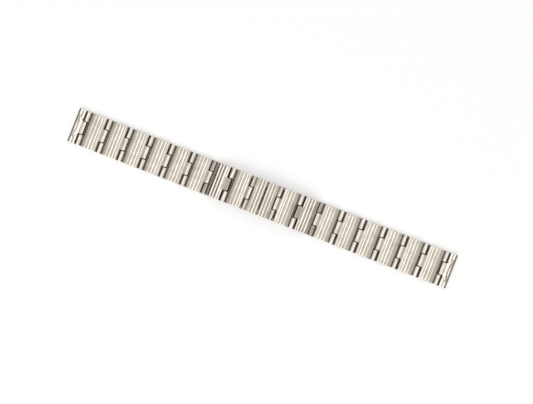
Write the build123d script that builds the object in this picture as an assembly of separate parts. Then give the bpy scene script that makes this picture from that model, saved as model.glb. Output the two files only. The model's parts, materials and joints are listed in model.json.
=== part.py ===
from build123d import *
import math
import os

# Link watch bracelet, lying straight on a table with its double folding clasp shut.
# X runs along the bracelet, Y across it and Z up. The origin is on the table, under the seam in the middle.
# Each half has, from its end inwards: an end link, full links and a centre link on a clasp arm.
# Every piece of the left half is modelled here, and the right half is the same turned half a turn about Z.

# The band
band_width = 14.0
links_per_side = 8
link_pitch = 8.9
seam_gap = 0.1
side_bevel = 0.25

# The hinge between two links
knuckle_radius = 0.85
hinge_gap = 0.18
tongue_width = 5.1
link_pin_radius = 0.4
pin_sides = 12
tight_clearance = 0.01
running_clearance = 0.04
pin_recess = 0.05

# The fluted top of a link
crest_height = 1.3
ear_front = 0.4
ear_back = 0.8
ear_edge_height = 0.78
ear_flank_width = 0.3
valley_height = 0.15
valley_width = 0.15
shoulder_width = 2.1
brow_width = 0.5
ridge_width = 1.35
groove_depth = 0.14
band_drop = 0.06
edge_width = 0.4
edge_drop = 0.4
tongue_flat_width = 0.28
tongue_tip_land = 0.3
tongue_tip_drop = 0.03
heel_chamfer = 0.2

# The centre link, whose rounded nose turns on the clasp arm
centre_shoulder_width = 1.1
nose_radius = 1.05
nose_offset = 0.5
nose_skin = 0.24

# The end link, whose tube takes a watch's spring bar
end_length = 4.0
tube_radius = 1.05
spring_bar_bore_radius = 0.8
end_web_flare = 3.2
end_side_height = 0.55

# The clasp base
clasp_setback = 1.05
base_thickness = 0.8
base_end_height = 0.3
base_bow = 0.6
barrel_radius = 1.1
arm_pin_radius = 0.5

# The clasp arms
arm_length = 12.3
arm_tilt = 2.5
arm_plate_height = 1.6
arm_plate_thickness = 0.8
flange_thickness = 0.8
flange_gap = 0.15
flange_lip = 0.7
arm_link_gap = 0.05
nose_neck_width = 0.8
nose_lug_gap = 0.08
nose_swing = 80.0

# The catch that holds the clasp shut
catch_spacing = 5.2
catch_drop = 0.8
catch_pin_radius = 0.35
catch_wall = 0.32
catch_grip = 0.08
catch_depth = 0.45
catch_clip_width = 3.8
catch_rail_gap = 0.2
catch_rail_thickness = 1.0
catch_rail_wall = 0.25
catch_stem_width = 1.0

# One overrun for every cut
overrun = 1.0

# Heights and places that follow from the sizes above
knuckle_clear = knuckle_radius + hinge_gap
slot_width = tongue_width + 2 * hinge_gap
groove_height = crest_height - groove_depth
valley_start_x = ear_back + ear_flank_width
foot_x = valley_start_x + valley_width
crest_x = foot_x + shoulder_width
centre_crest_x = foot_x + centre_shoulder_width
body_end_x = link_pitch - knuckle_clear
flange_outer_y = band_width / 2 - clasp_setback
flange_inner_y = flange_outer_y - flange_thickness
base_width = 2 * (flange_inner_y - flange_gap)
arm_plate_top = arm_plate_height + arm_plate_thickness
nose_height = nose_radius - knuckle_radius
nose_x = centre_crest_x + brow_width + ridge_width + nose_offset
nose_lug_radius = nose_radius - nose_skin - nose_lug_gap
arm_nose_height = arm_plate_top + arm_link_gap + nose_radius


def edge_loop(edges):
    """Face in the XZ plane inside a closed loop of edges."""
    return Plane.XZ * make_face(edges)


def slab(face, width):
    """Solid of a width across the band, centred on the middle of the band."""
    return extrude(face, width / 2, both=True)


def rod(radius, width, x=0.0, z=0.0):
    """Round bar across the band at a place in the XZ plane."""
    return Pos(x, 0, z) * slab(Plane.XZ * Circle(radius), width)


def pin_bar(radius, length, x=0.0, z=0.0):
    """Small pin or eye across the band, a bar of a few sides whose corners lie on its radius."""
    return Pos(x, 0, z) * slab(Plane.XZ * RegularPolygon(radius, pin_sides), length)


def pin_hole(radius, clearance, length, x=0.0, z=0.0):
    """Hole for a small pin or eye, with flats that stand the clearance away from its radius."""
    outline = RegularPolygon(radius + clearance, pin_sides, major_radius=False)
    return Pos(x, 0, z) * slab(Plane.XZ * outline, length)


def block(x_low, x_high, z_low, z_high, width):
    """Plain block across the band between two places along X and two heights."""
    corners = [(x_low, z_low), (x_high, z_low), (x_high, z_high), (x_low, z_high), (x_low, z_low)]
    return slab(edge_loop(Polyline(*corners).edges()), width)


def fluted_top(crest_place, ridges):
    """Edges of a link's top, from the foot of its shoulder over the crest and along its round ridges."""
    brow_end = crest_place + brow_width
    edges = [
        TangentArc((crest_place, crest_height), (foot_x, valley_height), tangent=(-1, 0)),
        TangentArc((crest_place, crest_height), (brow_end, groove_height), tangent=(1, 0)),
    ]
    for ridge in range(ridges):
        start = brow_end + ridge * ridge_width
        end = start + ridge_width
        top = ((start + end) / 2, crest_height)
        edges.append(ThreePointArc((start, groove_height), top, (end, groove_height)))
    return edges


def ear_edges():
    """Edges of the ear end, from the valley over the ear's low crown and round its front to the underside."""
    back = (ear_back, ear_edge_height)
    front = (-ear_front, ear_edge_height)
    return [
        Line((foot_x, valley_height), (valley_start_x, valley_height)),
        Line((valley_start_x, valley_height), back),
        ThreePointArc(back, ((ear_back - ear_front) / 2, knuckle_radius), front),
        ThreePointArc(front, (-knuckle_radius, 0), (0, -knuckle_radius)),
    ]


def bevelled(solid, x_low, x_high):
    """The solid with the side edges of its top bevelled where it stands highest."""
    side = band_width / 2
    reach = side_bevel + overrun
    top = crest_height - side_bevel
    bottom = -knuckle_radius - overrun
    corners = [
        (side, bottom),
        (side, top),
        (side - reach, top + reach),
        (reach - side, top + reach),
        (-side, top),
        (-side, bottom),
        (side, bottom),
    ]
    section = Plane.YZ * make_face(Polyline(*corners))
    return solid & (Pos(x_low, 0, 0) * extrude(section, x_high - x_low))


def eared(solid):
    """The solid with the slot for the next link's tongue and the pin's bore through its ears."""
    slot = block(-knuckle_radius - overrun, knuckle_clear, -nose_radius - overrun, crest_height, slot_width)
    return solid - slot - pin_hole(link_pin_radius, tight_clearance, band_width + overrun)


def tongue(root_x, root_height, axis_x):
    """Tongue with a round end about a pin's axis, sloping down from the top of the link that carries it."""
    tip = (axis_x + tongue_tip_land, knuckle_radius - tongue_tip_drop)
    slope_end = axis_x - tongue_flat_width
    top = [(root_x, root_height), (slope_end, knuckle_radius), (axis_x, knuckle_radius), tip]
    root = [(axis_x, -knuckle_radius), (root_x, -knuckle_radius), (root_x, root_height)]
    round_end = ThreePointArc(tip, (axis_x + knuckle_radius, 0), (axis_x, -knuckle_radius))
    face = edge_loop([*Polyline(*top).edges(), round_end, *Polyline(*root).edges()])
    return slab(face, tongue_width) - pin_hole(link_pin_radius, running_clearance, band_width, axis_x)


def full_link():
    """Link with two ears at its outer end, a fluted top and a tongue, its ear axis at the origin."""
    flutes_end = crest_x + brow_width + 2 * ridge_width
    band_end = body_end_x - edge_width
    band_height = groove_height - band_drop
    edge_height = band_height - edge_drop
    heel = -knuckle_radius + heel_chamfer
    edges = [
        *fluted_top(crest_x, 2),
        Line((flutes_end, groove_height), (band_end, band_height)),
        Line((band_end, band_height), (body_end_x, edge_height)),
        Line((body_end_x, edge_height), (body_end_x, heel)),
        Line((body_end_x, heel), (body_end_x - heel_chamfer, -knuckle_radius)),
        Line((body_end_x - heel_chamfer, -knuckle_radius), (0, -knuckle_radius)),
        *ear_edges(),
    ]
    body = eared(slab(edge_loop(edges), band_width))
    body = bevelled(body, -knuckle_radius - overrun, link_pitch)
    return body + tongue(band_end, band_height, link_pitch)


def nose_slots():
    """Slots under a centre link's nose, which the eyes of a clasp arm fill and swing in."""
    slot_thickness = flange_thickness + 2 * nose_lug_gap
    half_neck = nose_neck_width / 2 + nose_lug_gap
    swing_rise = half_neck - nose_lug_radius * math.sin(math.radians(90 - nose_swing))
    opening = block(
        nose_x - half_neck,
        nose_x + nose_radius + overrun,
        -knuckle_radius - overrun,
        nose_height + swing_rise,
        slot_thickness,
    )
    slot = pin_hole(nose_lug_radius, nose_lug_gap, slot_thickness, nose_x, nose_height) + opening
    middle = (flange_inner_y + flange_outer_y) / 2
    return [Pos(0, side * middle, 0) * slot for side in (-1, 1)]


def centre_link():
    """Link with two ears at its outer end and a round nose for the clasp arm, its ear axis at the origin."""
    flutes_end = nose_x - nose_offset
    nose_start = nose_height + math.sqrt(nose_radius**2 - nose_offset**2)
    nose_edge = ThreePointArc(
        (flutes_end, nose_start), (nose_x + nose_radius, nose_height), (nose_x, -knuckle_radius)
    )
    edges = [
        *fluted_top(centre_crest_x, 1),
        Line((flutes_end, groove_height), (flutes_end, nose_start)),
        nose_edge,
        Line((nose_x, -knuckle_radius), (0, -knuckle_radius)),
        *ear_edges(),
    ]
    body = eared(slab(edge_loop(edges), band_width))
    body = bevelled(body, -knuckle_radius - overrun, nose_x + nose_radius + overrun)
    for slot in nose_slots():
        body -= slot
    return body - pin_hole(link_pin_radius, running_clearance, band_width + overrun, nose_x, nose_height)


def end_body(top_end_height):
    """End link's tube and the plate behind it, whose top falls to a height at the plate's inner end."""
    tube_x = tube_radius - end_length
    tube_z = tube_radius - knuckle_radius
    low_corner = -knuckle_radius + heel_chamfer
    edges = [
        Line((tube_x, tube_z + tube_radius), (-knuckle_clear, top_end_height)),
        Line((-knuckle_clear, top_end_height), (-knuckle_clear, low_corner)),
        Line((-knuckle_clear, low_corner), (-knuckle_clear - heel_chamfer, -knuckle_radius)),
        Line((-knuckle_clear - heel_chamfer, -knuckle_radius), (tube_x, -knuckle_radius)),
        ThreePointArc((tube_x, -knuckle_radius), (-end_length, tube_z), (tube_x, tube_z + tube_radius)),
    ]
    return slab(edge_loop(edges), band_width)


def end_web():
    """Plan of the end link's raised middle, which narrows from the tube to the tongue."""
    tube_x = tube_radius - end_length
    narrow = tongue_width / 2
    wide = narrow + end_web_flare
    end_x = -knuckle_clear
    corners = [(tube_x, -wide), (end_x, -narrow), (end_x, narrow), (tube_x, wide), (tube_x, -wide)]
    web = extrude(make_face(Polyline(*corners)), 2 * tube_radius + 2 * overrun)
    return Pos(0, 0, -knuckle_radius - overrun) * web


def end_link():
    """End link with a tube for a spring bar and a tongue, its tongue's axis at the origin."""
    tube_x = tube_radius - end_length
    tube_z = tube_radius - knuckle_radius
    top = tube_z + tube_radius - groove_depth
    body = end_body(end_side_height) + (end_body(top) & end_web())
    body = bevelled(body, -end_length - overrun, 0)
    body += tongue(-knuckle_clear, top, 0)
    return body - rod(spring_bar_bore_radius, band_width + overrun, tube_x, tube_z)


def clasp_arm():
    """Clasp arm: a top plate with a flange at each side, hinge eyes and nose eyes, its hinge at the origin."""
    half_neck = nose_neck_width / 2
    end_x = arm_length + half_neck
    lip = arm_plate_height - flange_lip
    side_view = [
        (0, -barrel_radius),
        (end_x, lip),
        (end_x, arm_plate_top),
        (0, arm_plate_top),
        (-barrel_radius, 0),
        (0, -barrel_radius),
    ]
    sides = slab(edge_loop(Polyline(*side_view).edges()), 2 * flange_outer_y)
    sides += rod(barrel_radius, 2 * flange_outer_y)
    sides += pin_bar(nose_lug_radius, 2 * flange_outer_y, arm_length, arm_nose_height)
    sides += block(arm_length - half_neck, end_x, arm_plate_height, arm_nose_height, 2 * flange_outer_y)
    low = -barrel_radius - overrun
    channel = block(low, end_x + overrun, low, arm_plate_height, 2 * flange_inner_y)
    above = block(-overrun, end_x + overrun, arm_plate_top, arm_nose_height + nose_radius, 2 * flange_inner_y)
    arm = sides - channel - above - pin_hole(arm_pin_radius, tight_clearance, 2 * flange_outer_y + overrun)
    nose_hole = pin_hole(
        link_pin_radius, tight_clearance, 2 * flange_outer_y + overrun, arm_length, arm_nose_height
    )
    return arm - nose_hole


def catch_clip(reach, height):
    """Clip under an arm's plate with an open jaw for a catch pin at a reach and height from the arm's hinge."""
    outer = catch_pin_radius + catch_grip + catch_wall
    inner = catch_pin_radius + catch_grip
    jaw = rod(outer, catch_clip_width) + block(-outer, outer, -catch_depth, 0, catch_clip_width)
    jaw -= rod(inner, catch_clip_width + overrun)
    jaw -= block(-inner, inner, -catch_depth - overrun, 0, catch_clip_width + overrun)
    lean = math.degrees(math.atan2(height, reach))
    half_stem = catch_stem_width / 2
    stem_foot = height + (inner + outer) / 2
    stem = block(reach - half_stem, reach + half_stem, stem_foot, arm_plate_height, catch_clip_width)
    return Pos(reach, 0, height) * Rot(0, -lean, 0) * jaw + stem


def arc_strip(half_length, end_height, rise, thickness, width):
    """Curved plate that rises from its two ends to its middle."""
    top = end_height + thickness
    edges = [
        ThreePointArc((-half_length, end_height), (0, end_height + rise), (half_length, end_height)),
        Line((half_length, end_height), (half_length, top)),
        ThreePointArc((half_length, top), (0, top + rise), (-half_length, top)),
        Line((-half_length, top), (-half_length, end_height)),
    ]
    return slab(edge_loop(edges), width)


def clasp_base(barrel_x, catch_x, catch_z):
    """Bowed base plate with a hinge barrel at each end and two rails that hold the catch pins."""
    base = arc_strip(barrel_x, base_end_height, base_bow, base_thickness, base_width)
    rail_round = catch_pin_radius + catch_rail_wall
    rail_foot = base_end_height + base_thickness
    rail_inner = catch_clip_width / 2 + catch_rail_gap
    rail = block(-catch_x - rail_round, catch_x + rail_round, rail_foot, catch_z, catch_rail_thickness)
    rail += block(-catch_x, catch_x, rail_foot, catch_z + rail_round, catch_rail_thickness)
    for side in (-1, 1):
        rail += pin_bar(rail_round, catch_rail_thickness, side * catch_x, catch_z)
        base += rod(barrel_radius, base_width, side * barrel_x, barrel_radius)
    for side in (-1, 1):
        base += Pos(0, side * (rail_inner + catch_rail_thickness / 2), 0) * rail
    for side in (-1, 1):
        hinge_x = side * barrel_x
        base -= pin_hole(arm_pin_radius, running_clearance, base_width + overrun, hinge_x, barrel_radius)
        base -= pin_hole(catch_pin_radius, tight_clearance, base_width, side * catch_x, catch_z)
    return base


def turned(x, z, tilt):
    """A vector in the XZ plane tilted so that its inner end rises, with tilt in degrees."""
    angle = math.radians(tilt)
    return x * math.cos(angle) - z * math.sin(angle), x * math.sin(angle) + z * math.cos(angle)


def placed(solid, place):
    """A solid of the left half at its place, which is X, Z and tilt."""
    x, z, tilt = place
    return Pos(x, 0, z) * Rot(0, -tilt, 0) * solid


def left_places():
    """Places of the left half's hinges, each as X, Z and the tilt of the piece that it carries."""
    nose_dx, nose_dz = turned(arm_length, arm_nose_height, arm_tilt)
    nose_place_x = -seam_gap / 2 - nose_radius
    places = {"arm": (nose_place_x - nose_dx, barrel_radius, arm_tilt)}
    places["nose"] = (nose_place_x, barrel_radius + nose_dz, arm_tilt)
    back_x, back_z = turned(nose_x, nose_height, arm_tilt)
    x, z = places["nose"][0] - back_x, places["nose"][1] - back_z
    places["centre_link"] = (x, z, arm_tilt)
    for number in range(links_per_side, 0, -1):
        tilt = 0.0
        if number == links_per_side:
            tilt = arm_tilt
        elif number == links_per_side - 1:
            tilt = math.degrees(math.asin((z - knuckle_radius) / link_pitch))
        step_x, step_z = turned(link_pitch, 0, tilt)
        x, z = x - step_x, z - step_z
        places[f"link_{number}"] = (x, z, tilt)
    places["end_link"] = (x, z, 0.0)
    return places


def catch_place(arm_place):
    """Reach and height of the left catch pin from its arm's hinge, in the arm's own tilted frame."""
    hinge_x, _, tilt = arm_place
    angle = math.radians(tilt)
    height = arm_plate_height - catch_drop
    reach = (-catch_spacing / 2 - hinge_x + height * math.sin(angle)) / math.cos(angle)
    return reach, height


def left_half(places):
    """Every node of the left half, by its name without the side."""
    link = full_link()
    pin = pin_bar(link_pin_radius, band_width - 2 * pin_recess)
    nodes = {"end_link": placed(end_link(), places["end_link"])}
    for number in range(1, links_per_side + 1):
        nodes[f"link_{number}"] = placed(link, places[f"link_{number}"])
        nodes[f"link_pin_{number}"] = placed(pin, places[f"link_{number}"])
    nodes["centre_link"] = placed(centre_link(), places["centre_link"])
    nodes[f"link_pin_{links_per_side + 1}"] = placed(pin, places["centre_link"])
    nodes["nose_pin"] = placed(pin, places["nose"])
    nodes["clasp_arm"] = placed(clasp_arm(), places["arm"])
    nodes["arm_hinge_pin"] = placed(pin_bar(arm_pin_radius, 2 * (flange_outer_y - pin_recess)), places["arm"])
    nodes["catch_clip"] = placed(catch_clip(*catch_place(places["arm"])), places["arm"])
    return nodes


def bracelet():
    """Every node of the bracelet by its name."""
    places = left_places()
    half = left_half(places)
    nodes = {}
    for name, solid in half.items():
        nodes[f"left_{name}"] = solid
        nodes[f"right_{name}"] = Rot(0, 0, 180) * solid
    arm_x, arm_z, tilt = places["arm"]
    catch_x = catch_spacing / 2
    catch_z = arm_z + turned(*catch_place(places["arm"]), tilt)[1]
    nodes["clasp_base"] = clasp_base(-arm_x, catch_x, catch_z)
    pin_length = catch_clip_width + 2 * (catch_rail_gap + catch_rail_thickness - pin_recess)
    for side, sign in (("left", -1), ("right", 1)):
        nodes[f"{side}_catch_pin"] = pin_bar(catch_pin_radius, pin_length, sign * catch_x, catch_z)
    return nodes


def main():
    """Write one STEP file for each node."""
    os.makedirs("parts", exist_ok=True)
    for name, solid in bracelet().items():
        export_step(solid, f"parts/{name}.step")


main()
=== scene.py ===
"""Dressed model of a link watch bracelet, laid straight with its double folding clasp shut.

Sizes are in millimetres and meshes in metres. X runs along the bracelet, Y across it and Z up.
Every piece of the left half is worked out in a frame of its own, with its hinge axis at the origin, and is
then tilted and moved to its hinge. The right half is the same piece turned half a turn about Z.
"""
import json
import logging
import math
from dataclasses import dataclass, field
from enum import Enum
from functools import cached_property
from typing import Optional, Sequence

import bmesh
import bpy
import numpy as np
from mathutils import Matrix


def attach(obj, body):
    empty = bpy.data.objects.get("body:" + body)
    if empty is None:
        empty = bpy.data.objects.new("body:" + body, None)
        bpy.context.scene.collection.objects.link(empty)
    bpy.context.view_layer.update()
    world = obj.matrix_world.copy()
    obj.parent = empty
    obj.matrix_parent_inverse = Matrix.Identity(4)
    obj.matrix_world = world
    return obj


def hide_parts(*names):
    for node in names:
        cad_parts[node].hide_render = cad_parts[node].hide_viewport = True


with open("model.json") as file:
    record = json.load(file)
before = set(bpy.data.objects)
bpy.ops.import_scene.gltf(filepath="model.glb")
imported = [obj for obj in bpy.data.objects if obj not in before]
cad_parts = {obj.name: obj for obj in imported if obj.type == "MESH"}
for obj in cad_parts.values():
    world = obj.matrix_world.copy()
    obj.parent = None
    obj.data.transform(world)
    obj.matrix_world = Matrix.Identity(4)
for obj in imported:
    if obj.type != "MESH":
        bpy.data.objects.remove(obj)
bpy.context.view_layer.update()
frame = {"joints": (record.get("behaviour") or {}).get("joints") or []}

log = logging.getLogger("bracelet")

MM = 0.001
# Distance between the points of a dense line, before it is thinned.
DENSE_STEP = 0.015
# Millimetres that a radian of turn counts as when a dense line is thinned.
TURN_WEIGHT = 0.35
# How far cutters run past what they cut.
OVERRUN = 1.0
# Distances in metres within which vertices are merged, on a new grid and on a piece with its holes.
GRID_MERGE, PIECE_MERGE = 1e-9, 1e-7
# Angle between faces past which an edge is hard, in degrees.
SHARP_TURN = 38.0
# Height over which a vertex counts as on top of a piece, and the most that its file work and painted shade
# add up to.
TOP_SIDE, MOST_SHARE = -0.4, 1.3
# Rays with which a material tells how open a place is.
OPENNESS_RAYS = 8

Point = tuple[float, float]
Mesh = bpy.types.Mesh
Tree = bpy.types.NodeTree
Socket = bpy.types.NodeSocket
Material = bpy.types.Material


class Side(Enum):
    """The two halves of the bracelet, each with the half turn that puts a left piece there."""

    LEFT = ("left", 0.0)
    RIGHT = ("right", math.pi)

    @property
    def word(self) -> str:
        """The side's name in the names of bodies and nodes."""
        return self.value[0]

    @property
    def turn(self) -> Matrix:
        """Turn about Z that takes a left piece to this side."""
        return Matrix.Rotation(self.value[1], 4, "Z")


class Slot(Enum):
    """Material slots of the record."""

    LINKS = "links"
    PINS = "link_pins"
    CLASP = "clasp"


# Lines in the XZ plane


def straight(start: Point, end: Point) -> np.ndarray:
    """Dense points on a straight line: start plus a share of the way to end.

    Args:
        start: First point.
        end: Last point.

    Returns:
        Points as rows of X and Z.
    """
    count = max(2, math.ceil(math.dist(start, end) / DENSE_STEP) + 1)
    share = np.linspace(0.0, 1.0, count)[:, None]
    return np.asarray(start) + share * (np.asarray(end) - np.asarray(start))


def tangent_arc(start: Point, end: Point, heading: float) -> np.ndarray:
    """Dense points on an arc that leaves start in a given direction and ends at end.

    The chord to a point turns from the heading as the point goes along. Its length is the whole chord times
    the sine of the angle turned so far over the sine of the whole angle.

    Args:
        start: First point.
        end: Last point.
        heading: Direction at the start, in radians from +X towards +Z.

    Returns:
        Points as rows of X and Z.
    """
    chord = math.dist(start, end)
    aim = math.atan2(end[1] - start[1], end[0] - start[0])
    whole = math.remainder(aim - heading, 2 * math.pi)
    length = chord * whole / math.sin(whole)
    turned = np.linspace(0.0, whole, max(3, math.ceil(abs(length) / DENSE_STEP) + 1))
    reach = chord * np.sin(turned) / math.sin(whole)
    angle = heading + turned
    return np.stack([start[0] + reach * np.cos(angle), start[1] + reach * np.sin(angle)], axis=1)


def round_arc(centre: Point, radius: float, first: float, last: float) -> np.ndarray:
    """Dense points on an arc: the centre plus the radius times the cosine and sine of an angle.

    Args:
        centre: Centre of the arc.
        radius: Radius of the arc.
        first: Angle of the first point, in degrees.
        last: Angle of the last point, in degrees.

    Returns:
        Points as rows of X and Z.
    """
    count = max(3, math.ceil(radius * math.radians(abs(last - first)) / DENSE_STEP) + 1)
    angle = np.radians(np.linspace(first, last, count))
    return np.stack([centre[0] + radius * np.cos(angle), centre[1] + radius * np.sin(angle)], axis=1)


def bulge(start: Point, end: Point, rise: float) -> np.ndarray:
    """Dense points on a shallow arc between two points, a parabola that rises to its left by a height.

    Args:
        start: First point.
        end: Last point.
        rise: Height of the middle over the chord.

    Returns:
        Points as rows of X and Z.
    """
    line = straight(start, end)
    share = np.linspace(0.0, 1.0, len(line))
    along = (np.asarray(end) - np.asarray(start)) / math.dist(start, end)
    return line + (4 * rise * share * (1 - share))[:, None] * np.array([-along[1], along[0]])


def joined(*stretches: np.ndarray) -> np.ndarray:
    """Stretches that meet end to end as one line, each shared point kept once."""
    return np.concatenate([stretches[0]] + [part[1:] for part in stretches[1:]])


def cornered(*corners: Point) -> np.ndarray:
    """Dense points on straight lines from corner to corner."""
    return joined(*[straight(a, b) for a, b in zip(corners[:-1], corners[1:])])


def blurred(loop: np.ndarray, blur: float) -> np.ndarray:
    """Closed line with its corners rounded: each point becomes the mean of its neighbours under a bell curve.

    Args:
        loop: Evenly spaced points of a closed line.
        blur: Standard deviation of the bell curve along the line.

    Returns:
        As many points.
    """
    step = np.linalg.norm(loop - np.roll(loop, 1, axis=0), axis=1).mean()
    waves = np.fft.fftfreq(len(loop))
    bell = np.exp(-2 * (math.pi * waves * blur / step) ** 2)
    return np.fft.ifft(np.fft.fft(loop, axis=0) * bell[:, None], axis=0).real


def thinned(line: np.ndarray, count: int) -> np.ndarray:
    """Places along a dense line for a number of points that stand closer where the line turns.

    The measure between neighbours is their distance plus a weight times the angle turned between them.

    Args:
        line: Dense points.
        count: Number of places, both ends among them.

    Returns:
        Places as fractional row numbers of the line.
    """
    step = np.diff(line, axis=0)
    heading = np.unwrap(np.arctan2(step[:, 1], step[:, 0]))
    weight = np.linalg.norm(step, axis=1) + TURN_WEIGHT * np.abs(np.gradient(heading))
    measure = np.concatenate([[0.0], np.cumsum(weight)])
    return np.interp(np.linspace(0.0, measure[-1], count), measure, np.arange(len(line)))


def picked(line: np.ndarray, places: np.ndarray) -> np.ndarray:
    """Points of a dense line at fractional row numbers."""
    rows = np.arange(len(line))
    return np.stack([np.interp(places, rows, line[:, k]) for k in range(line.shape[1])], axis=1)


def ways_inward(loop: np.ndarray) -> np.ndarray:
    """Unit vectors to the right of a closed line that runs clockwise, square to it.

    Args:
        loop: Evenly spaced points.

    Returns:
        A vector at each point.
    """
    ahead = np.roll(loop, -1, axis=0) - np.roll(loop, 1, axis=0)
    ahead /= np.linalg.norm(ahead, axis=1)[:, None]
    return np.stack([ahead[:, 1], -ahead[:, 0]], axis=1)


@dataclass
class Section:
    """A closed outline thinned to a grid's points, in stretches, with the way inward at each point.

    Args:
        points: Points as rows of X and Z.
        inward: Unit vector into the solid at each point.
        starts: Row at which each stretch starts.
    """

    points: np.ndarray
    inward: np.ndarray
    starts: list[int]

    @classmethod
    def of(
            cls, stretches: Sequence[np.ndarray], counts: Sequence[int], blur: float,
            inset_blur: float) -> "Section":
        """Join stretches to a closed clockwise line, round its corners and thin it, stretch by stretch.

        Args:
            stretches: Dense lines that meet end to end, the last with the first.
            counts: Number of points of each stretch, its first among them and its last not.
            blur: How far corners are rounded.
            inset_blur: How far the ways inward are evened out along the line.

        Returns:
            The section.
        """
        loop = np.concatenate([part[:-1] for part in stretches])
        soft = blurred(loop, blur)
        inward = ways_inward(blurred(loop, inset_blur))
        closed = np.concatenate([soft, soft[:1]])
        closed_inward = np.concatenate([inward, inward[:1]])
        points, ways, starts, row = [], [], [], 0
        for part, count in zip(stretches, counts):
            rows = slice(row, row + len(part))
            places = thinned(closed[rows], count + 1)[:-1]
            starts.append(sum(len(p) for p in points))
            points.append(picked(closed[rows], places))
            ways.append(picked(closed_inward[rows], places))
            row += len(part) - 1
        return cls(np.concatenate(points), np.concatenate(ways), starts)

    def rows(self, stretch: int) -> slice:
        """Rows of one stretch, without the next one's first point."""
        ends = self.starts[1:] + [len(self.points)]
        return slice(self.starts[stretch], ends[stretch])

    def inset(self, depth: float) -> np.ndarray:
        """The outline moved inward by a depth."""
        return self.points + depth * self.inward

    def inset_stretch(self, stretch: int, depth: float, fade: float) -> np.ndarray:
        """The outline with one stretch moved inward, by less within a fade of that stretch's ends.

        Args:
            stretch: Number of the stretch.
            depth: Depth away from its ends.
            fade: Length over which the depth grows from nothing.

        Returns:
            All points of the outline.
        """
        rows = self.rows(stretch)
        line = self.points[rows]
        walked = np.concatenate([[0.0], np.cumsum(np.linalg.norm(np.diff(line, axis=0), axis=1))])
        near = np.minimum(walked, walked[-1] - walked)
        share = np.clip(near / fade, 0.0, 1.0)
        moved = self.points.copy()
        moved[rows] += (depth * share)[:, None] * self.inward[rows]
        return moved


# Solids


@dataclass
class Station:
    """One cross-section of a solid that runs across the band.

    Args:
        y: Place across the band.
        outline: Points of the closed outline there, as rows of X and Z.
    """

    y: float
    outline: np.ndarray


def in_scene(name: str, data: bpy.types.ID) -> bpy.types.Object:
    """A new object with this data, linked to the scene."""
    made = bpy.data.objects.new(name, data)
    bpy.context.scene.collection.objects.link(made)
    return made


def applied(body: bpy.types.Object) -> Mesh:
    """A mesh of an object with its modifiers applied, named after the object's own mesh.

    Args:
        body: The object.

    Returns:
        The new mesh.
    """
    bpy.context.view_layer.update()
    held = body.evaluated_get(bpy.context.evaluated_depsgraph_get())
    made = bpy.data.meshes.new_from_object(held)
    made.name = body.data.name
    return made


def merged(mesh: Mesh, reach: float, outward: bool) -> None:
    """Merge a mesh's close vertices and take out faces without area.

    Args:
        mesh: Mesh to change.
        reach: Distance within which vertices are merged, in metres.
        outward: Whether to turn the faces outward too.
    """
    work = bmesh.new()
    work.from_mesh(mesh)
    bmesh.ops.remove_doubles(work, verts=work.verts, dist=reach)
    bmesh.ops.dissolve_degenerate(work, edges=work.edges, dist=reach)
    if outward:
        bmesh.ops.recalc_face_normals(work, faces=work.faces)
    work.to_mesh(mesh)
    work.free()


def rounding(radius: float, steps: int) -> list[Point]:
    """Distances from the side and depths along a rounded edge: the radius times one less sine and cosine.

    Args:
        radius: Radius of the edge.
        steps: Number of steps.

    Returns:
        Pairs in order towards the side.
    """
    angles = np.linspace(0.0, math.pi / 2, steps + 1)[1:]
    return [(radius * (1 - math.sin(a)), radius * (1 - math.cos(a))) for a in angles]


def grid_mesh(name: str, stations: Sequence[Station]) -> Mesh:
    """Closed mesh through cross-sections: a grid of (outline point, station) with a face over each end.

    Vertex (i, j) is outline point j of station i at that station's Y. Points that fall together are merged.

    Args:
        name: Name of the mesh.
        stations: Cross-sections in order, each with as many points.

    Returns:
        The mesh in metres, with its faces outward.
    """
    outlines = np.stack([s.outline for s in stations])
    across = np.array([s.y for s in stations])
    rows, columns = outlines.shape[:2]
    place = np.empty((rows, columns, 3))
    place[..., 0] = outlines[..., 0]
    place[..., 1] = across[:, None]
    place[..., 2] = outlines[..., 1]
    first = np.arange(rows * columns).reshape(rows, columns)
    after = np.roll(first, -1, axis=1)
    quads = np.stack([first[:-1], after[:-1], after[1:], first[1:]], axis=-1).reshape(-1, 4)
    mesh = bpy.data.meshes.new(name)
    caps = [first[0].tolist()[::-1], first[-1].tolist()]
    mesh.from_pydata((place.reshape(-1, 3) * MM).tolist(), [], quads.tolist() + caps)
    merged(mesh, GRID_MERGE, True)
    return mesh


def bar(name: str, section: Section, low: float, high: float, edge: float, steps: int = 4) -> Mesh:
    """Straight bar of one section across the band, with rounded edges at both ends.

    Args:
        name: Name of the mesh.
        section: Outline of the bar.
        low: Y of one end.
        high: Y of the other end.
        edge: Radius of the rounded edges.
        steps: Steps round each edge.

    Returns:
        The mesh in metres.
    """
    ends = rounding(edge, steps)
    tops = [Station(high - back, section.inset(depth)) for back, depth in ends]
    bottoms = [Station(low + back, section.inset(depth)) for back, depth in reversed(ends)]
    plain = [Station(low + edge, section.points), Station(high - edge, section.points)]
    return grid_mesh(name, bottoms + plain + tops)


def turned_bar(name: str, radii: Sequence[Point], place: Point = (0.0, 0.0), count: int = 56) -> Mesh:
    """Bar turned about an axis across the band: a circle of each radius at its Y.

    Args:
        name: Name of the mesh.
        radii: Pairs of Y and radius, in order of Y.
        place: X and Z of the axis.
        count: Points round the bar.

    Returns:
        The mesh in metres.
    """
    angle = np.linspace(0.0, -2 * math.pi, count, endpoint=False)
    circle = np.stack([np.cos(angle), np.sin(angle)], axis=1)
    return grid_mesh(name, [Station(y, np.asarray(place) + radius * circle) for y, radius in radii])


def both_ways(half: list[Point]) -> list[Point]:
    """Pairs of Y and radius from end to end, from those between the middle and the +Y end."""
    return [(-y, radius) for y, radius in reversed(half)] + half


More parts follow.
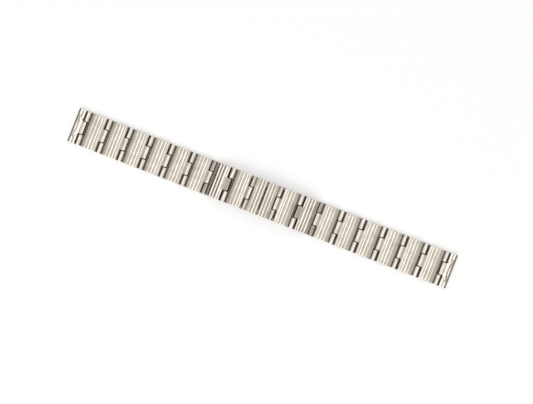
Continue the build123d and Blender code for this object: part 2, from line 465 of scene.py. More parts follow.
def drill_radii(radius: float, half_length: float, flare: float) -> list[Point]:
    """Pairs of Y and radius for a drill that opens a hole's mouths by a flare, at a half length each way."""
    wide = radius + flare
    return both_ways([(half_length - flare, radius), (half_length, wide), (half_length + OVERRUN, wide)])


def combined(base: Mesh, added: Sequence[Mesh], cut: Sequence[Mesh]) -> Mesh:
    """A solid with others added to it and then others cut from it, with its faces shaded. All are used up.

    Args:
        base: Mesh to start from.
        added: What is added.
        cut: What is cut.

    Returns:
        The shaded mesh.
    """
    body = in_scene("forming", base)
    tools = []
    for operation, mesh in [("UNION", m) for m in added] + [("DIFFERENCE", m) for m in cut]:
        tool = in_scene("tool", mesh)
        step = body.modifiers.new(operation, "BOOLEAN")
        step.operation = operation
        step.solver = "EXACT"
        step.object = tool
        tools.append(tool)
    made = applied(body)
    for thing in [body, *tools]:
        mesh = thing.data
        bpy.data.objects.remove(thing)
        bpy.data.meshes.remove(mesh)
    return smooth_faced(made)


def smooth_faced(mesh: Mesh) -> Mesh:
    """Shade a mesh smooth, with hard edges where its faces turn sharply and flats that stay flat.

    Args:
        mesh: Mesh to shade. It is used up.

    Returns:
        The shaded mesh.
    """
    merged(mesh, PIECE_MERGE, False)
    mesh.shade_smooth()
    mesh.set_sharp_from_angle(angle=math.radians(SHARP_TURN))
    body = in_scene("shading", mesh)
    weigh = body.modifiers.new("weighted normals", "WEIGHTED_NORMAL")
    weigh.keep_sharp = True
    made = applied(body)
    bpy.data.objects.remove(body)
    bpy.data.meshes.remove(mesh)
    return made


@dataclass(frozen=True)
class Patch:
    """A stretch of a piece's top with a mark of its own, such as file work and painted shade.

    Args:
        start: Where it starts along X.
        end: Where it ends along X.
        near: Least distance from the middle of the band.
        far: Greatest distance from the middle of the band.
        share: How strong the mark is.
        fade: Length over which it grows and falls.
    """

    start: float
    end: float
    near: float
    far: float
    share: float = 1.0
    fade: float = 0.35


def marked(mesh: Mesh, name: str, patches: Sequence[Patch]) -> Mesh:
    """Note on a mesh how strong a mark, such as file work and painted shade, is at each point, as a point
    attribute.

    A patch adds its share times two straight ramps, one up from its start and one down to its end.

    Args:
        mesh: Mesh in its own frame.
        name: Name of the attribute.
        patches: Stretches with the mark.

    Returns:
        The same mesh.
    """
    place = np.empty(len(mesh.vertices) * 3)
    mesh.vertices.foreach_get("co", place)
    x, y, z = place.reshape(-1, 3).T / MM
    total = np.zeros(len(x))
    for patch in patches:
        ramp = np.clip((x - patch.start) / patch.fade, 0.0, 1.0)
        ramp *= np.clip((patch.end - x) / patch.fade, 0.0, 1.0)
        covered = (np.abs(y) >= patch.near) & (np.abs(y) <= patch.far) & (z > TOP_SIDE)
        total += patch.share * ramp * covered
    mesh.attributes.new(name, "FLOAT", "POINT").data.foreach_set("value", np.minimum(total, MOST_SHARE))
    return mesh


# Finishes, with painted shade


def linear(code: str) -> tuple[float, float, float, float]:
    """Linear colour of an sRGB hex code."""
    parts = [int(code[k:k + 2], 16) / 255 for k in (1, 3, 5)]
    flat = [c / 12.92 if c <= 0.04045 else ((c + 0.055) / 1.055) ** 2.4 for c in parts]
    return (flat[0], flat[1], flat[2], 1.0)


def add(tree: Tree, kind: str, settings: Optional[dict] = None, **links: Socket) -> bpy.types.Node:
    """Add a node with its settings and its inputs.

    Args:
        tree: Node tree.
        kind: Node type.
        settings: Attributes of the node, and values of its inputs by name or number under the key "inputs".
        links: Outputs of other nodes by the name of this node's input, with underscores for blanks, or by its
            number after the letter n.

    Returns:
        The node.
    """
    node = tree.nodes.new(kind)
    values = dict(settings or {})
    for name, value in values.pop("inputs", {}).items():
        node.inputs[name].default_value = value
    for name, value in values.items():
        setattr(node, name, value)
    for name, source in links.items():
        key = int(name[1:]) if name[0] == "n" and name[1:].isdigit() else name.replace("_", " ")
        tree.links.new(source, node.inputs[key])
    return node


def emptied(owner: bpy.types.ID) -> Tree:
    """The node tree of a material or world, in use and empty."""
    owner.use_nodes = True
    owner.node_tree.nodes.clear()
    return owner.node_tree


def counted(tree: Tree, operation: str, *terms: float | Socket, clamp: bool = False) -> Socket:
    """Add a node of arithmetic.

    Args:
        tree: Node tree.
        operation: What it does.
        terms: Its inputs in order, each a number or another node's output.
        clamp: Whether the result is held between 0 and 1.

    Returns:
        The node's output.
    """
    node = add(tree, "ShaderNodeMath", {"operation": operation, "use_clamp": clamp})
    for socket, term in zip(node.inputs, terms):
        if isinstance(term, Socket):
            tree.links.new(term, socket)
        else:
            socket.default_value = term
    return node.outputs[0]


def ranged(tree: Tree, value: Socket, ends: Point, to: Point = (0.0, 1.0)) -> Socket:
    """Add a node that takes a value from one range to another and holds it there.

    Args:
        tree: Node tree.
        value: Output of another node.
        ends: The value at each end of the new range.
        to: Ends of the new range.

    Returns:
        The node's output.
    """
    inputs = {"From Min": ends[0], "From Max": ends[1], "To Min": to[0], "To Max": to[1]}
    return add(tree, "ShaderNodeMapRange", {"inputs": inputs}, Value=value).outputs["Result"]


def openness(tree: Tree, reach: float) -> Socket:
    """Add a node that tells how open a place is within a reach in metres, from 0 to 1."""
    settings = {"samples": OPENNESS_RAYS, "inputs": {"Distance": reach}}
    return add(tree, "ShaderNodeAmbientOcclusion", settings).outputs["AO"]


class Grain(Enum):
    """Way that a brush ran over the steel, as the share of streak length along X, Y and Z."""

    ACROSS = (0.0, 1.0, 0.0)
    ALONG = (1.0, 0.0, 0.0)


@dataclass(frozen=True)
class BrushedSteel:
    """Satin stainless steel, drawn over an abrasive belt: a soft broad shine with fine streaks one way.

    Args:
        name: Name of the material.
        colour: Colour of the bare steel.
        dull: Colour where handling has dulled it.
        roughness: Typical roughness of the satin face.
        grain: Way that the belt ran.
        streak_width: Width of a streak.
        streak_length: Length of a streak.
        streak_height: Height of the streaks.
        streak_ends: Noise at the smoothest and at the roughest part of a streak.
        streak_change: What those two add to the roughness.
        patch: Size of the patches that handling leaves.
        patch_ends: Noise where a patch starts and where it is dullest.
        patch_share: How dull it gets, as a share.
        worn_ends: Pointiness where an edge starts to be worn and where it is worn most.
        worn_polish: How much smoother worn edges are.
        shade_colour: Colour of the painted shade in recesses and gaps.
        shade_recess_size: Size of a recess that gets the painted shade.
        shade_openness_ends: Openness where the painted shade starts and where it is whole.
        file_turn: Turn of the file's strokes from straight across, in degrees.
        file_width: Width of a stroke.
        file_length: Length of a stroke.
        file_height: Height of the ridges between strokes.
        file_roughness: How much rougher the steel is under the file work.
        file_and_painted_shade: How much darker the steel is under the file work, as a share: partly the
            file's own tone, partly painted shade.
    """

    name: str
    colour: str
    dull: str
    roughness: float
    grain: Grain
    # A belt's real streaks are a few hundredths of a millimetre wide. They are drawn coarser, to show.
    streak_width: float = 0.09
    streak_length: float = 3.5
    streak_height: float = 0.0035
    streak_ends: Point = (0.3, 0.7)
    streak_change: Point = (-0.04, 0.06)
    patch: float = 2.6
    patch_ends: Point = (0.34, 0.72)
    patch_share: float = 0.5
    worn_ends: Point = (0.51, 0.56)
    worn_polish: float = 0.08
    # Painted shade: a dark matt colour that the steel turns to where it is closed in, standing for the shade
    # in recesses and gaps.
    shade_colour: str = "#1B1713"
    shade_recess_size: float = 0.7
    shade_openness_ends: Point = (0.8, 0.48)
    file_turn: float = 17.0
    # A fine file's real strokes are about a tenth of a millimetre apart and are drawn coarser too.
    file_width: float = 0.28
    file_length: float = 2.4
    file_height: float = 0.012
    file_roughness: float = 0.14
    file_and_painted_shade: float = 0.52

    def material(self) -> Material:
        """Build the material.

        Returns:
            The material, on Object coordinates.
        """
        made = bpy.data.materials.new(self.name)
        tree = emptied(made)
        place = add(tree, "ShaderNodeTexCoord").outputs["Object"]
        filed_and_shaded = add(tree, "ShaderNodeAttribute", {"attribute_name": "filing_and_painted_shade"}).outputs["Fac"]
        streaks, painted_shade = self.streaks(tree, place), self.painted_shade(tree)
        shader = add(
            tree, "ShaderNodeBsdfPrincipled", Metallic=counted(tree, "SUBTRACT", 1.0, painted_shade),
            Base_Color=self.tint(tree, place, filed_and_shaded, painted_shade), Roughness=self.rough(tree, streaks, filed_and_shaded),
            Normal=self.relief(tree, place, streaks, filed_and_shaded))
        add(tree, "ShaderNodeOutputMaterial", Surface=shader.outputs["BSDF"])
        return made

    def streaks(self, tree: Tree, place: Socket) -> Socket:
        """Noise drawn out along the belt's way: its scale is one over a streak's size each way.

        Args:
            tree: Node tree.
            place: Place on the piece.

        Returns:
            The noise.
        """
        longer = self.streak_length - self.streak_width
        sizes = [self.streak_width + longer * share for share in self.grain.value]
        scale = [1 / (size * MM) for size in sizes]
        stretched = add(tree, "ShaderNodeMapping", {"inputs": {"Scale": scale}}, Vector=place)
        return add(
            tree, "ShaderNodeTexNoise", {"inputs": {"Scale": 1.0, "Detail": 3.0, "Roughness": 0.6}},
            Vector=stretched.outputs["Vector"]).outputs["Fac"]

    def painted_shade(self, tree: Tree) -> Socket:
        """Share of the painted shade: in narrow recesses, and where a piece is marked with painted shade in
        its gaps.
        """
        # Painted shade: the more closed in a place is, the more the steel turns to the dark colour.
        recess_shade = ranged(tree, openness(tree, self.shade_recess_size * MM), self.shade_openness_ends)
        painted_gap_shade = add(tree, "ShaderNodeAttribute", {"attribute_name": "painted_gap_shade"}).outputs["Fac"]
        return counted(tree, "MAXIMUM", recess_shade, painted_gap_shade, clamp=True)

    def tint(self, tree: Tree, place: Socket, filed_and_shaded: Socket, painted_shade: Socket) -> Socket:
        """Colour of the steel: dull in patches, darker under the file work with its painted shade, and dark
        under the painted shade of recesses and gaps.

        Args:
            tree: Node tree.
            place: Place on the piece.
            filed_and_shaded: Share of file work and its painted shade.
            painted_shade: Share of the painted shade in recesses and gaps.

        Returns:
            The colour.
        """
        patches = add(
            tree, "ShaderNodeTexNoise", {"inputs": {"Scale": 1 / (self.patch * MM), "Detail": 2.0}},
            Vector=place).outputs["Fac"]
        dulled = ranged(tree, patches, self.patch_ends, (0.0, self.patch_share))
        colours = {6: linear(self.colour), 7: linear(self.dull)}
        steel = add(tree, "ShaderNodeMix", {"data_type": "RGBA", "inputs": colours}, n0=dulled)
        # Darker under the file work: partly the file's own tone, partly painted shade.
        kept = counted(tree, "MULTIPLY_ADD", filed_and_shaded, -self.file_and_painted_shade, 1.0)
        shaded = add(tree, "ShaderNodeVectorMath", {"operation": "SCALE"}, n0=steel.outputs[2], Scale=kept)
        return add(
            tree, "ShaderNodeMix", {"data_type": "RGBA", "inputs": {7: linear(self.shade_colour)}}, n0=painted_shade,
            n6=shaded.outputs["Vector"]).outputs[2]

    def rough(self, tree: Tree, streaks: Socket, filed_and_shaded: Socket) -> Socket:
        """Roughness, which changes from streak to streak, less on worn edges and more under the file work.

        Args:
            tree: Node tree.
            streaks: Height of the streaks.
            filed_and_shaded: Share of file work and its painted shade.

        Returns:
            The roughness.
        """
        low, high = self.streak_change
        streaked = ranged(tree, streaks, self.streak_ends, (self.roughness + low, self.roughness + high))
        worn = ranged(tree, add(tree, "ShaderNodeNewGeometry").outputs["Pointiness"], self.worn_ends)
        polished = counted(tree, "MULTIPLY_ADD", worn, -self.worn_polish, streaked)
        return counted(tree, "MULTIPLY_ADD", filed_and_shaded, self.file_roughness, polished)

    def relief(self, tree: Tree, place: Socket, streaks: Socket, filed_and_shaded: Socket) -> Socket:
        """Normals with the belt's streaks and, under the file work, the file's strokes.

        Args:
            tree: Node tree.
            place: Place on the piece.
            streaks: Height of the streaks.
            filed_and_shaded: Share of file work and its painted shade.

        Returns:
            The normals.
        """
        turned = add(
            tree, "ShaderNodeMapping", {"inputs": {"Rotation": (0.0, 0.0, math.radians(-self.file_turn))}},
            Vector=place)
        scale = (1 / (self.file_width * MM), 1 / (self.file_length * MM), 1 / MM)
        drawn_out = add(
            tree, "ShaderNodeMapping", {"inputs": {"Scale": scale}}, Vector=turned.outputs["Vector"])
        strokes = add(
            tree, "ShaderNodeTexNoise", {"inputs": {"Scale": 1.0, "Detail": 2.0}},
            Vector=drawn_out.outputs["Vector"]).outputs["Fac"]
        bump = add(
            tree, "ShaderNodeBump", {"inputs": {"Strength": 1.0, "Distance": self.streak_height * MM}},
            Height=streaks)
        return add(
            tree, "ShaderNodeBump", {"inputs": {"Distance": self.file_height * MM}}, Strength=filed_and_shaded,
            Height=strokes, Normal=bump.outputs["Normal"]).outputs["Normal"]


# Places


@dataclass(frozen=True)
class Hinge:
    """Place of a hinge in the left half and the tilt of the piece that it carries.

    Args:
        x: Place along the bracelet, in millimetres.
        z: Height, in millimetres.
        tilt: How far the piece's inner end is raised, in radians.
    """

    x: float
    z: float
    tilt: float

    def matrix(self, side: Side) -> Matrix:
        """Matrix that takes a piece from its own frame to its place on one side."""
        move = Matrix.Translation((self.x * MM, 0.0, self.z * MM))
        return side.turn @ move @ Matrix.Rotation(-self.tilt, 4, "Y")


def read_hinges() -> dict[str, Hinge]:
    """Hinges of the left half from the frame's joints, by the name of the piece that each carries.

    A link's tilt is the direction from its own hinge to the next one inward.

    Returns:
        Hinges by piece: arm, nose, centre_link, link_8 to link_1 and end_link.
    """
    place = {j["name"]: (j["pos_m"][0] / MM, j["pos_m"][2] / MM) for j in frame["joints"]}
    arm, nose = place["left_arm_hinge"], place["left_nose_hinge"]
    count = sum(name.startswith("left_link_hinge_") for name in place)
    chain = [place[f"left_link_hinge_{number}"] for number in range(1, count + 1)]
    shut = math.atan2(chain[-1][1] - chain[-2][1], chain[-1][0] - chain[-2][0])
    hinges = {"arm": Hinge(*arm, shut), "nose": Hinge(*nose, shut), "centre_link": Hinge(*chain[-1], shut)}
    for number in range(1, count):
        here, inward = chain[number - 1], chain[number]
        hinges[f"link_{number}"] = Hinge(*here, math.atan2(inward[1] - here[1], inward[0] - here[0]))
    hinges["end_link"] = Hinge(*chain[0], 0.0)
    return hinges


# Pieces


@dataclass
class Knuckles:
    """The hinge between two links, shared by every link.

    Args:
        width: Width of the band.
        radius: Outer radius of a knuckle.
        gap: Gap round a tongue.
        tongue_width: Width of a tongue.
        pin_radius: Radius of a link pin.
        ear_bore: Radius of the hole in an ear.
        tongue_bore: Radius of the hole in a tongue.
        bore_flare: Chamfer at the mouths of the holes.
        edge: Radius of the edges along a link's two sides.
        edge_steps: Steps round such an edge.
        inner_edge: Radius of the edges of ears and tongues.
        inner_steps: Steps round such an edge.
        edge_fade: Length over which an inner edge grows.
        bevel: Height and width of the bevel along the tops of the sides.
        bevel_soft: How far the bevel's upper border is rounded.
        tongue_flat: Flat stretch of a tongue before the pin's axis.
        tongue_foot: Rise of a tongue where its slope starts, before that flat.
        foot_run: Length of that rise.
        tip_land: Nearly flat stretch of a tongue past the axis.
        tip_drop: Drop of that stretch.
        corner_blur: How far corners of an outline are rounded.
        inset_blur: How far the ways inward are evened out along an outline.
        pin_recess: How far a pin ends inside the band's side.
        ear_filing_and_shade: Where ears get file work and painted shade that dims their tops, from the pin's
            axis, and how strongly.
        front_shade: Where the fronts of ears get painted shade, from the axis.
        wall_shade: Where the wall and valley between ears get it.
        ear_side_shade: Where the inner sides of ears get it.
        tongue_side_shade: Where the sides of a tongue get it.
        tip_shade_end: Where the painted shade on a tongue's tip ends.
        side_shade_reach: How far that shade goes in from a side's edge, as a share of the edge.
        end_shade_gap: How far from a tongue the painted shade on the inner end starts.
    """

    width: float = 14.0
    radius: float = 0.85
    gap: float = 0.18
    tongue_width: float = 5.1
    pin_radius: float = 0.4
    ear_bore: float = 0.41
    tongue_bore: float = 0.44
    bore_flare: float = 0.03
    edge: float = 0.09
    edge_steps: int = 4
    inner_edge: float = 0.06
    inner_steps: int = 3
    edge_fade: float = 0.15
    bevel: float = 0.25
    bevel_soft: float = 0.012
    tongue_flat: float = 0.28
    tongue_foot: float = 0.03
    foot_run: float = 0.4
    tip_land: float = 0.56
    tip_drop: float = 0.04
    corner_blur: float = 0.03
    inset_blur: float = 0.13
    pin_recess: float = 0.05
    ear_filing_and_shade: tuple[float, float, float] = (-0.7, 1.3, 0.42)
    front_shade: Point = (-1.2, -0.56)
    wall_shade: Point = (0.8, 1.3)
    ear_side_shade: Point = (-0.7, 1.1)
    tongue_side_shade: Point = (-1.1, 0.8)
    tip_shade_end: float = 1.2
    side_shade_reach: float = 1.1
    end_shade_gap: float = 0.01

    @property
    def pin_half(self) -> float:
        """Half the length of a link pin."""
        return self.width / 2 - self.pin_recess

    @property
    def clear(self) -> float:
        """Distance from a pin's axis to the wall that a knuckle turns past."""
        return self.radius + self.gap

    @property
    def slot_half(self) -> float:
        """Half the width of the slot between two ears."""
        return self.tongue_width / 2 + self.gap

    def filed_and_shaded_ears(self) -> Patch:
        """Where a link's ears get file work and painted shade that dims their tops."""
        start, end, share = self.ear_filing_and_shade
        return Patch(start, end, self.slot_half, self.width, share)

    def painted_ear_shade(self) -> list[Patch]:
        """Where a link gets painted shade round its ears: on their fronts, between them and on their sides.
        """
        inner = self.slot_half
        return [
            Patch(*self.front_shade, inner, self.width, fade=0.12),
            Patch(*self.wall_shade, 0.0, inner, share=0.8, fade=0.2),
            Patch(*self.ear_side_shade, inner, inner + self.side_shade_reach * self.inner_edge, share=0.9, fade=0.15)]

    def painted_tongue_shade(self, axis: float, tip: float) -> list[Patch]:
        """Where a tongue gets painted shade: on its tip and on its sides.

        Args:
            axis: Place of the pin's axis.
            tip: How far past it the tip's painted shade starts.

        Returns:
            The patches.
        """
        side = self.tongue_width / 2
        near = side - self.side_shade_reach * self.inner_edge
        start, end = self.tongue_side_shade
        return [
            Patch(axis + tip, axis + self.tip_shade_end, 0.0, side, fade=0.1),
            Patch(axis + start, axis + end, near, side, share=0.9, fade=0.15)]

    def tongue_stations(self, whole: Section, inner: Section) -> list[Station]:
        """Stations from the middle of the band to the tongue's side, whose edge is rounded.

        Args:
            whole: Outline through an ear.
            inner: Outline through the slot and the tongue.

        Returns:
            Stations in order of Y.
        """
        top, under = whole.rows(1), whole.rows(3)

        def shared(outline: np.ndarray) -> np.ndarray:
            """The outline with the top and underside of the whole one."""
            outline = outline.copy()
            outline[top], outline[under] = whole.points[top], whole.points[under]
            return outline

        side = self.tongue_width / 2
        plain = [*np.linspace(0.0, side - 3 * self.inner_edge, 4), side - self.inner_edge]
        stations = [Station(y, shared(inner.points)) for y in plain]
        for back, depth in rounding(self.inner_edge, self.inner_steps):
            stations.append(Station(side - back, shared(inner.inset_stretch(2, depth, self.edge_fade))))
        gap = shared(inner.points)
        gap[whole.rows(2)] = whole.points[whole.rows(2)]
        return stations + [Station(side, gap), Station(self.slot_half, gap)]

    def ear_stations(self, whole: Section) -> list[Station]:
        """Stations at the ear's inner side, whose edge is rounded."""
        return [
            Station(self.slot_half + back, whole.inset_stretch(0, depth, self.edge_fade))
            for back, depth in reversed(rounding(self.inner_edge, self.inner_steps))]

    def side_stations(self, whole: Section, start: float, top: float) -> list[Station]:
        """Stations from an ear's inner edge to the side of the band, with the bevel and the rounded edge.

        Args:
            whole: Outline through an ear.
            start: Y of the first station.
            top: Height of the link's top.

        Returns:
            Stations in order of Y.
        """
        side = self.width / 2
        flat_end = side - 1.2 * self.bevel
        plain = [start, *np.linspace(start + 2 * self.inner_edge, flat_end, 5)]
        plain += [*np.linspace(side - self.bevel, side - self.edge, 4)]
        stations = [Station(y, bevelled(whole.points, y, top, self)) for y in plain]
        for back, depth in rounding(self.edge, self.edge_steps):
            outline = bevelled(whole.points, side - back, top, self)
            stations.append(Station(side - back, outline + depth * whole.inward))
        return stations


@dataclass
class FlutedTop:
    """The fluted top that links share, in a frame with the ear's hole at the origin.

    Args:
        crest_height: Height of the crest and the ridges.
        full_crest: Place of the crest along X on a full link.
        crown_start: Outer border of the ear's crown.
        front_short: How far short of that border the round front ends, in degrees.
        crown_peak: Highest place of the crown.
        crown_end: Inner border of the crown.
        flank_foot: Where the ear's flank meets the valley.
        foot: Where the shoulder starts.
        slope_start: Lower end of the shoulder's straight slope.
        slope_end: Upper end of that slope, before the crest.
        valley_height: Height of the valley.
        wall_height: Height of the slot's wall under the valley's border.
        wall_dip: How far the wall's top is below the valley where it leaves it.
        groove_height: Height of the grooves between ridges.
        ridges: Number of ridges behind the crest.
        ridge_width: Width of one ridge.
        brow_start: How steeply the brow starts behind the crest, in degrees.
        brow_width: Width of the brow.
    """

    crest_height: float = 1.3
    full_crest: float = 3.42
    crown_start: Point = (-0.46, 0.755)
    front_short: float = 1.0
    crown_peak: Point = (-0.15, 0.85)
    crown_end: Point = (1.02, 0.7)
    flank_foot: float = 1.17
    foot: float = 1.3
    slope_start: Point = (1.85, 0.78)
    slope_end: Point = (2.6, 1.105)
    valley_height: float = 0.15
    wall_height: float = 0.05
    wall_dip: float = 0.02
    groove_height: float = 1.12
    ridges: int = 2
    ridge_width: float = 1.35
    brow_start: float = 10.0
    brow_width: float = 0.5

    @classmethod
    def of_centre(cls) -> "FlutedTop":
        """The top of a centre link, whose valley is shorter and higher."""
        return cls(crown_end=(1.0, 0.52), flank_foot=1.05, foot=1.1, valley_height=0.5, wall_height=0.48)

    def ear(self, knuckles: Knuckles) -> np.ndarray:
        """Outline of an ear from the slot's wall under it and round its front and crown to the shoulder.

        Args:
            knuckles: Sizes of the hinge.

        Returns:
            Dense points.
        """
        clear, radius = knuckles.clear, knuckles.radius
        front_angle = math.degrees(math.acos(self.crown_start[0] / radius)) + self.front_short
        front = round_arc((0.0, 0.0), radius, 270.0, front_angle)
        rise = math.atan2(self.crown_peak[1] - self.crown_start[1], self.crown_peak[0] - self.crown_start[0])
        return joined(
            straight((clear, -radius), (0.0, -radius)),
            front,
            straight(tuple(front[-1]), self.crown_start),
            tangent_arc(self.crown_start, self.crown_peak, 2 * rise),
            tangent_arc(self.crown_peak, self.crown_end, 0.0),
            cornered(self.crown_end, (self.flank_foot, self.valley_height), (self.foot, self.valley_height)),
        )

    def wall(self, knuckles: Knuckles) -> np.ndarray:
        """Wall of the slot between the ears, from the underside to the shoulder."""
        clear = knuckles.clear
        return cornered(
            (clear, -knuckles.radius), (clear, self.wall_height),
            (self.flank_foot, self.valley_height - self.wall_dip), (self.foot, self.valley_height))

    def flutes(self) -> np.ndarray:
        """Top of a full link from the valley over the shoulder and the crest to the end of the ridges.

        Returns:
            Dense points.
        """
        foot, start, end = (self.foot, self.valley_height), self.slope_start, self.slope_end
        crest, groove = (self.full_crest, self.crest_height), self.groove_height
        slope = math.atan2(end[1] - start[1], end[0] - start[0])
        foot_heading = 2 * math.atan2(start[1] - foot[1], start[0] - foot[0]) - slope
        brow_end = self.full_crest + self.brow_width
        parts = [
            tangent_arc(foot, start, foot_heading),
            straight(start, end),
            tangent_arc(end, crest, slope),
            tangent_arc(crest, (brow_end, groove), math.radians(-self.brow_start)),
        ]
        for ridge in range(self.ridges):
            x = brow_end + ridge * self.ridge_width
            parts.append(bulge((x, groove), (x + self.ridge_width, groove), self.crest_height - groove))
        return joined(*parts)


def bevelled(outline: np.ndarray, y: float, top: float, knuckles: Knuckles) -> np.ndarray:
    """An outline with its top held under the bevel at a place across the band.

    The bevel's height grows by a millimetre for each millimetre from the side, and the two heights are joined
    by a smooth minimum.

    Args:
        outline: Points as rows of X and Z.
        y: Place across the band.
        top: Height of the link's top.
        knuckles: Sizes of the bevel.

    Returns:
        The points with their heights held down.
    """
    limit = top - knuckles.bevel + (knuckles.width / 2 - abs(y))
    soft = knuckles.bevel_soft
    held = outline.copy()
    held[:, 1] = -soft * np.logaddexp(-outline[:, 1] / soft, -limit / soft)
    return held


def mirrored(half: Sequence[Station]) -> list[Station]:
    """Stations from one side of the band to the other, from those between the middle and the +Y side."""
    return [Station(-s.y, s.outline) for s in reversed(half)] + list(half[1:])


@dataclass
class FullLink:
    """A link with two ears, a fluted top and a tongue.

    Args:
        knuckles: Sizes of the hinge.
        top: Sizes of the fluted top.
        pitch: Distance between its two hinges.
        band_height: Height of the flat band at its inner end.
        edge_width: Width of the rounded inner edge.
        edge_drop: Height of the rounded inner edge.
        edge_start: How steeply that edge starts, in degrees.
        heel: Chamfer under the inner end.
        counts: Points of the ear, the top, the inner end and the underside.
        filed_and_shaded: How strongly the tongue's slope gets file work and painted shade.
        filed_and_shaded_before: How far before the inner end that starts, and how far before the axis it
            ends.
        crown_filing_and_shade: Where the tongue's flat gets file work and painted shade that dims its top,
            from the axis, and how strongly.
        tip_shade: How far past the axis the painted shade on the tongue's tip starts.
        end_shade: How far before and past the inner end it gets painted shade.
    """

    knuckles: Knuckles
    top: FlutedTop
    pitch: float = 8.9
    band_height: float = 1.02
    edge_width: float = 0.62
    edge_drop: float = 0.4
    edge_start: float = 10.0
    heel: float = 0.2
    counts: tuple[int, ...] = (64, 96, 40, 10)
    filed_and_shaded: float = 1.0
    filed_and_shaded_before: Point = (0.7, 0.2)
    crown_filing_and_shade: tuple[float, float, float] = (-0.55, 0.7, 0.45)
    tip_shade: float = 0.66
    end_shade: Point = (0.25, 0.5)

    def stretches(self) -> list[np.ndarray]:
        """Outline through an ear: ear, top, inner end and underside.

        Returns:
            The four stretches, clockwise.
        """
        body_end = self.pitch - self.knuckles.clear
        radius = self.knuckles.radius
        flutes = self.top.flutes()
        band_end = (body_end - self.edge_width, self.band_height)
        edge_end = (body_end, self.band_height - self.edge_drop)
        heel_end = (body_end - self.heel, -radius)
        return [
            self.top.ear(self.knuckles),
            joined(flutes, straight(tuple(flutes[-1]), band_end)),
            joined(
                tangent_arc(band_end, edge_end, math.radians(-self.edge_start)),
                cornered(edge_end, (body_end, self.heel - radius), heel_end)),
            straight(heel_end, (self.knuckles.clear, -radius)),
        ]

    def tongue(self, band_end: Point, heel_end: Point) -> np.ndarray:
        """Outline of the tongue between the end of the band and the end of the heel."""
        k, axis = self.knuckles, self.pitch
        foot = (axis - k.tongue_flat - k.foot_run, k.radius + k.tongue_foot)
        return tongue_line(band_end, foot, heel_end, axis, k)

    def mesh(self) -> Mesh:
        """Work out the link's mesh in its own frame, with its holes.

        Across the band the outline changes at the slot and at the tongue: between the ears the ear's stretch
        lies on the slot's wall, and where the tongue is, its outline takes the place of the inner end.

        Returns:
            The shaded mesh in metres.
        """
        k = self.knuckles
        stretches = self.stretches()
        wall = self.top.wall(k)
        tongue = self.tongue(tuple(stretches[2][0]), tuple(stretches[3][0]))
        fineness = (self.counts, k.corner_blur, k.inset_blur)
        whole = Section.of(stretches, *fineness)
        inner = Section.of([wall, stretches[1], tongue, stretches[3]], *fineness)
        half = k.tongue_stations(whole, inner) + k.ear_stations(whole)
        half += k.side_stations(whole, k.slot_half + k.inner_edge, self.top.crest_height)
        body = grid_mesh("fluted_link", mirrored(half))
        ears = turned_bar("ear_drill", drill_radii(k.ear_bore, k.width / 2, k.bore_flare))
        tongue_drill = turned_bar(
            "tongue_drill", drill_radii(k.tongue_bore, k.tongue_width / 2, k.bore_flare), (self.pitch, 0.0))
        made = combined(body, [], [ears, tongue_drill])
        side, body_end = k.tongue_width / 2, self.pitch - k.clear
        crown_start, crown_end, crown_share = self.crown_filing_and_shade
        # File work with painted shade on the tongue's slope and flat and on the ears' tops.
        marked(made, "filing_and_painted_shade", [
            Patch(body_end - self.filed_and_shaded_before[0], self.pitch - self.filed_and_shaded_before[1], 0.0, side, self.filed_and_shaded),
            Patch(self.pitch + crown_start, self.pitch + crown_end, 0.0, side, crown_share),
            k.filed_and_shaded_ears()])
        # Painted shade in the gaps: round the ears, on the tongue and on the inner end beside it.
        before, past = self.end_shade
        return marked(made, "painted_gap_shade", [
            *k.painted_ear_shade(), *k.painted_tongue_shade(self.pitch, self.tip_shade),
            Patch(body_end - before, body_end + past, side + k.end_shade_gap, k.width, fade=0.15)])


def tongue_line(band_end: Point, foot: Point, heel_end: Point, axis: float, knuckles: Knuckles) -> np.ndarray:
    """Dense outline of a tongue: a slope in two stretches, a flat over the axis, a round end and a foot.

    The end is round about the axis, and its distance from the axis falls evenly from the tip's to the radius.

    Args:
        band_end: Where the slope starts.
        foot: Where the slope changes.
        heel_end: Where the underside ends.
        axis: Place of the pin's axis along X.
        knuckles: Sizes of the tongue's top.

    Returns:
        Dense points, clockwise.
    """
    radius = knuckles.radius
    tip = (axis + knuckles.tip_land, radius - knuckles.tip_drop)
    tip_reach = math.hypot(knuckles.tip_land, tip[1])
    tip_angle = math.degrees(math.atan2(tip[1], knuckles.tip_land))
    round_end = round_arc((axis, 0.0), radius, tip_angle, -90.0)
    fitted = round_end + ((tip_reach - radius) * np.linspace(1.0, 0.0, len(round_end))[:, None]
                          * (round_end - [axis, 0.0]) / radius)
    return joined(
        cornered(band_end, foot, (axis - knuckles.tongue_flat, radius), (axis, radius), tip),
        fitted,
        straight((axis, -radius), heel_end),
    )


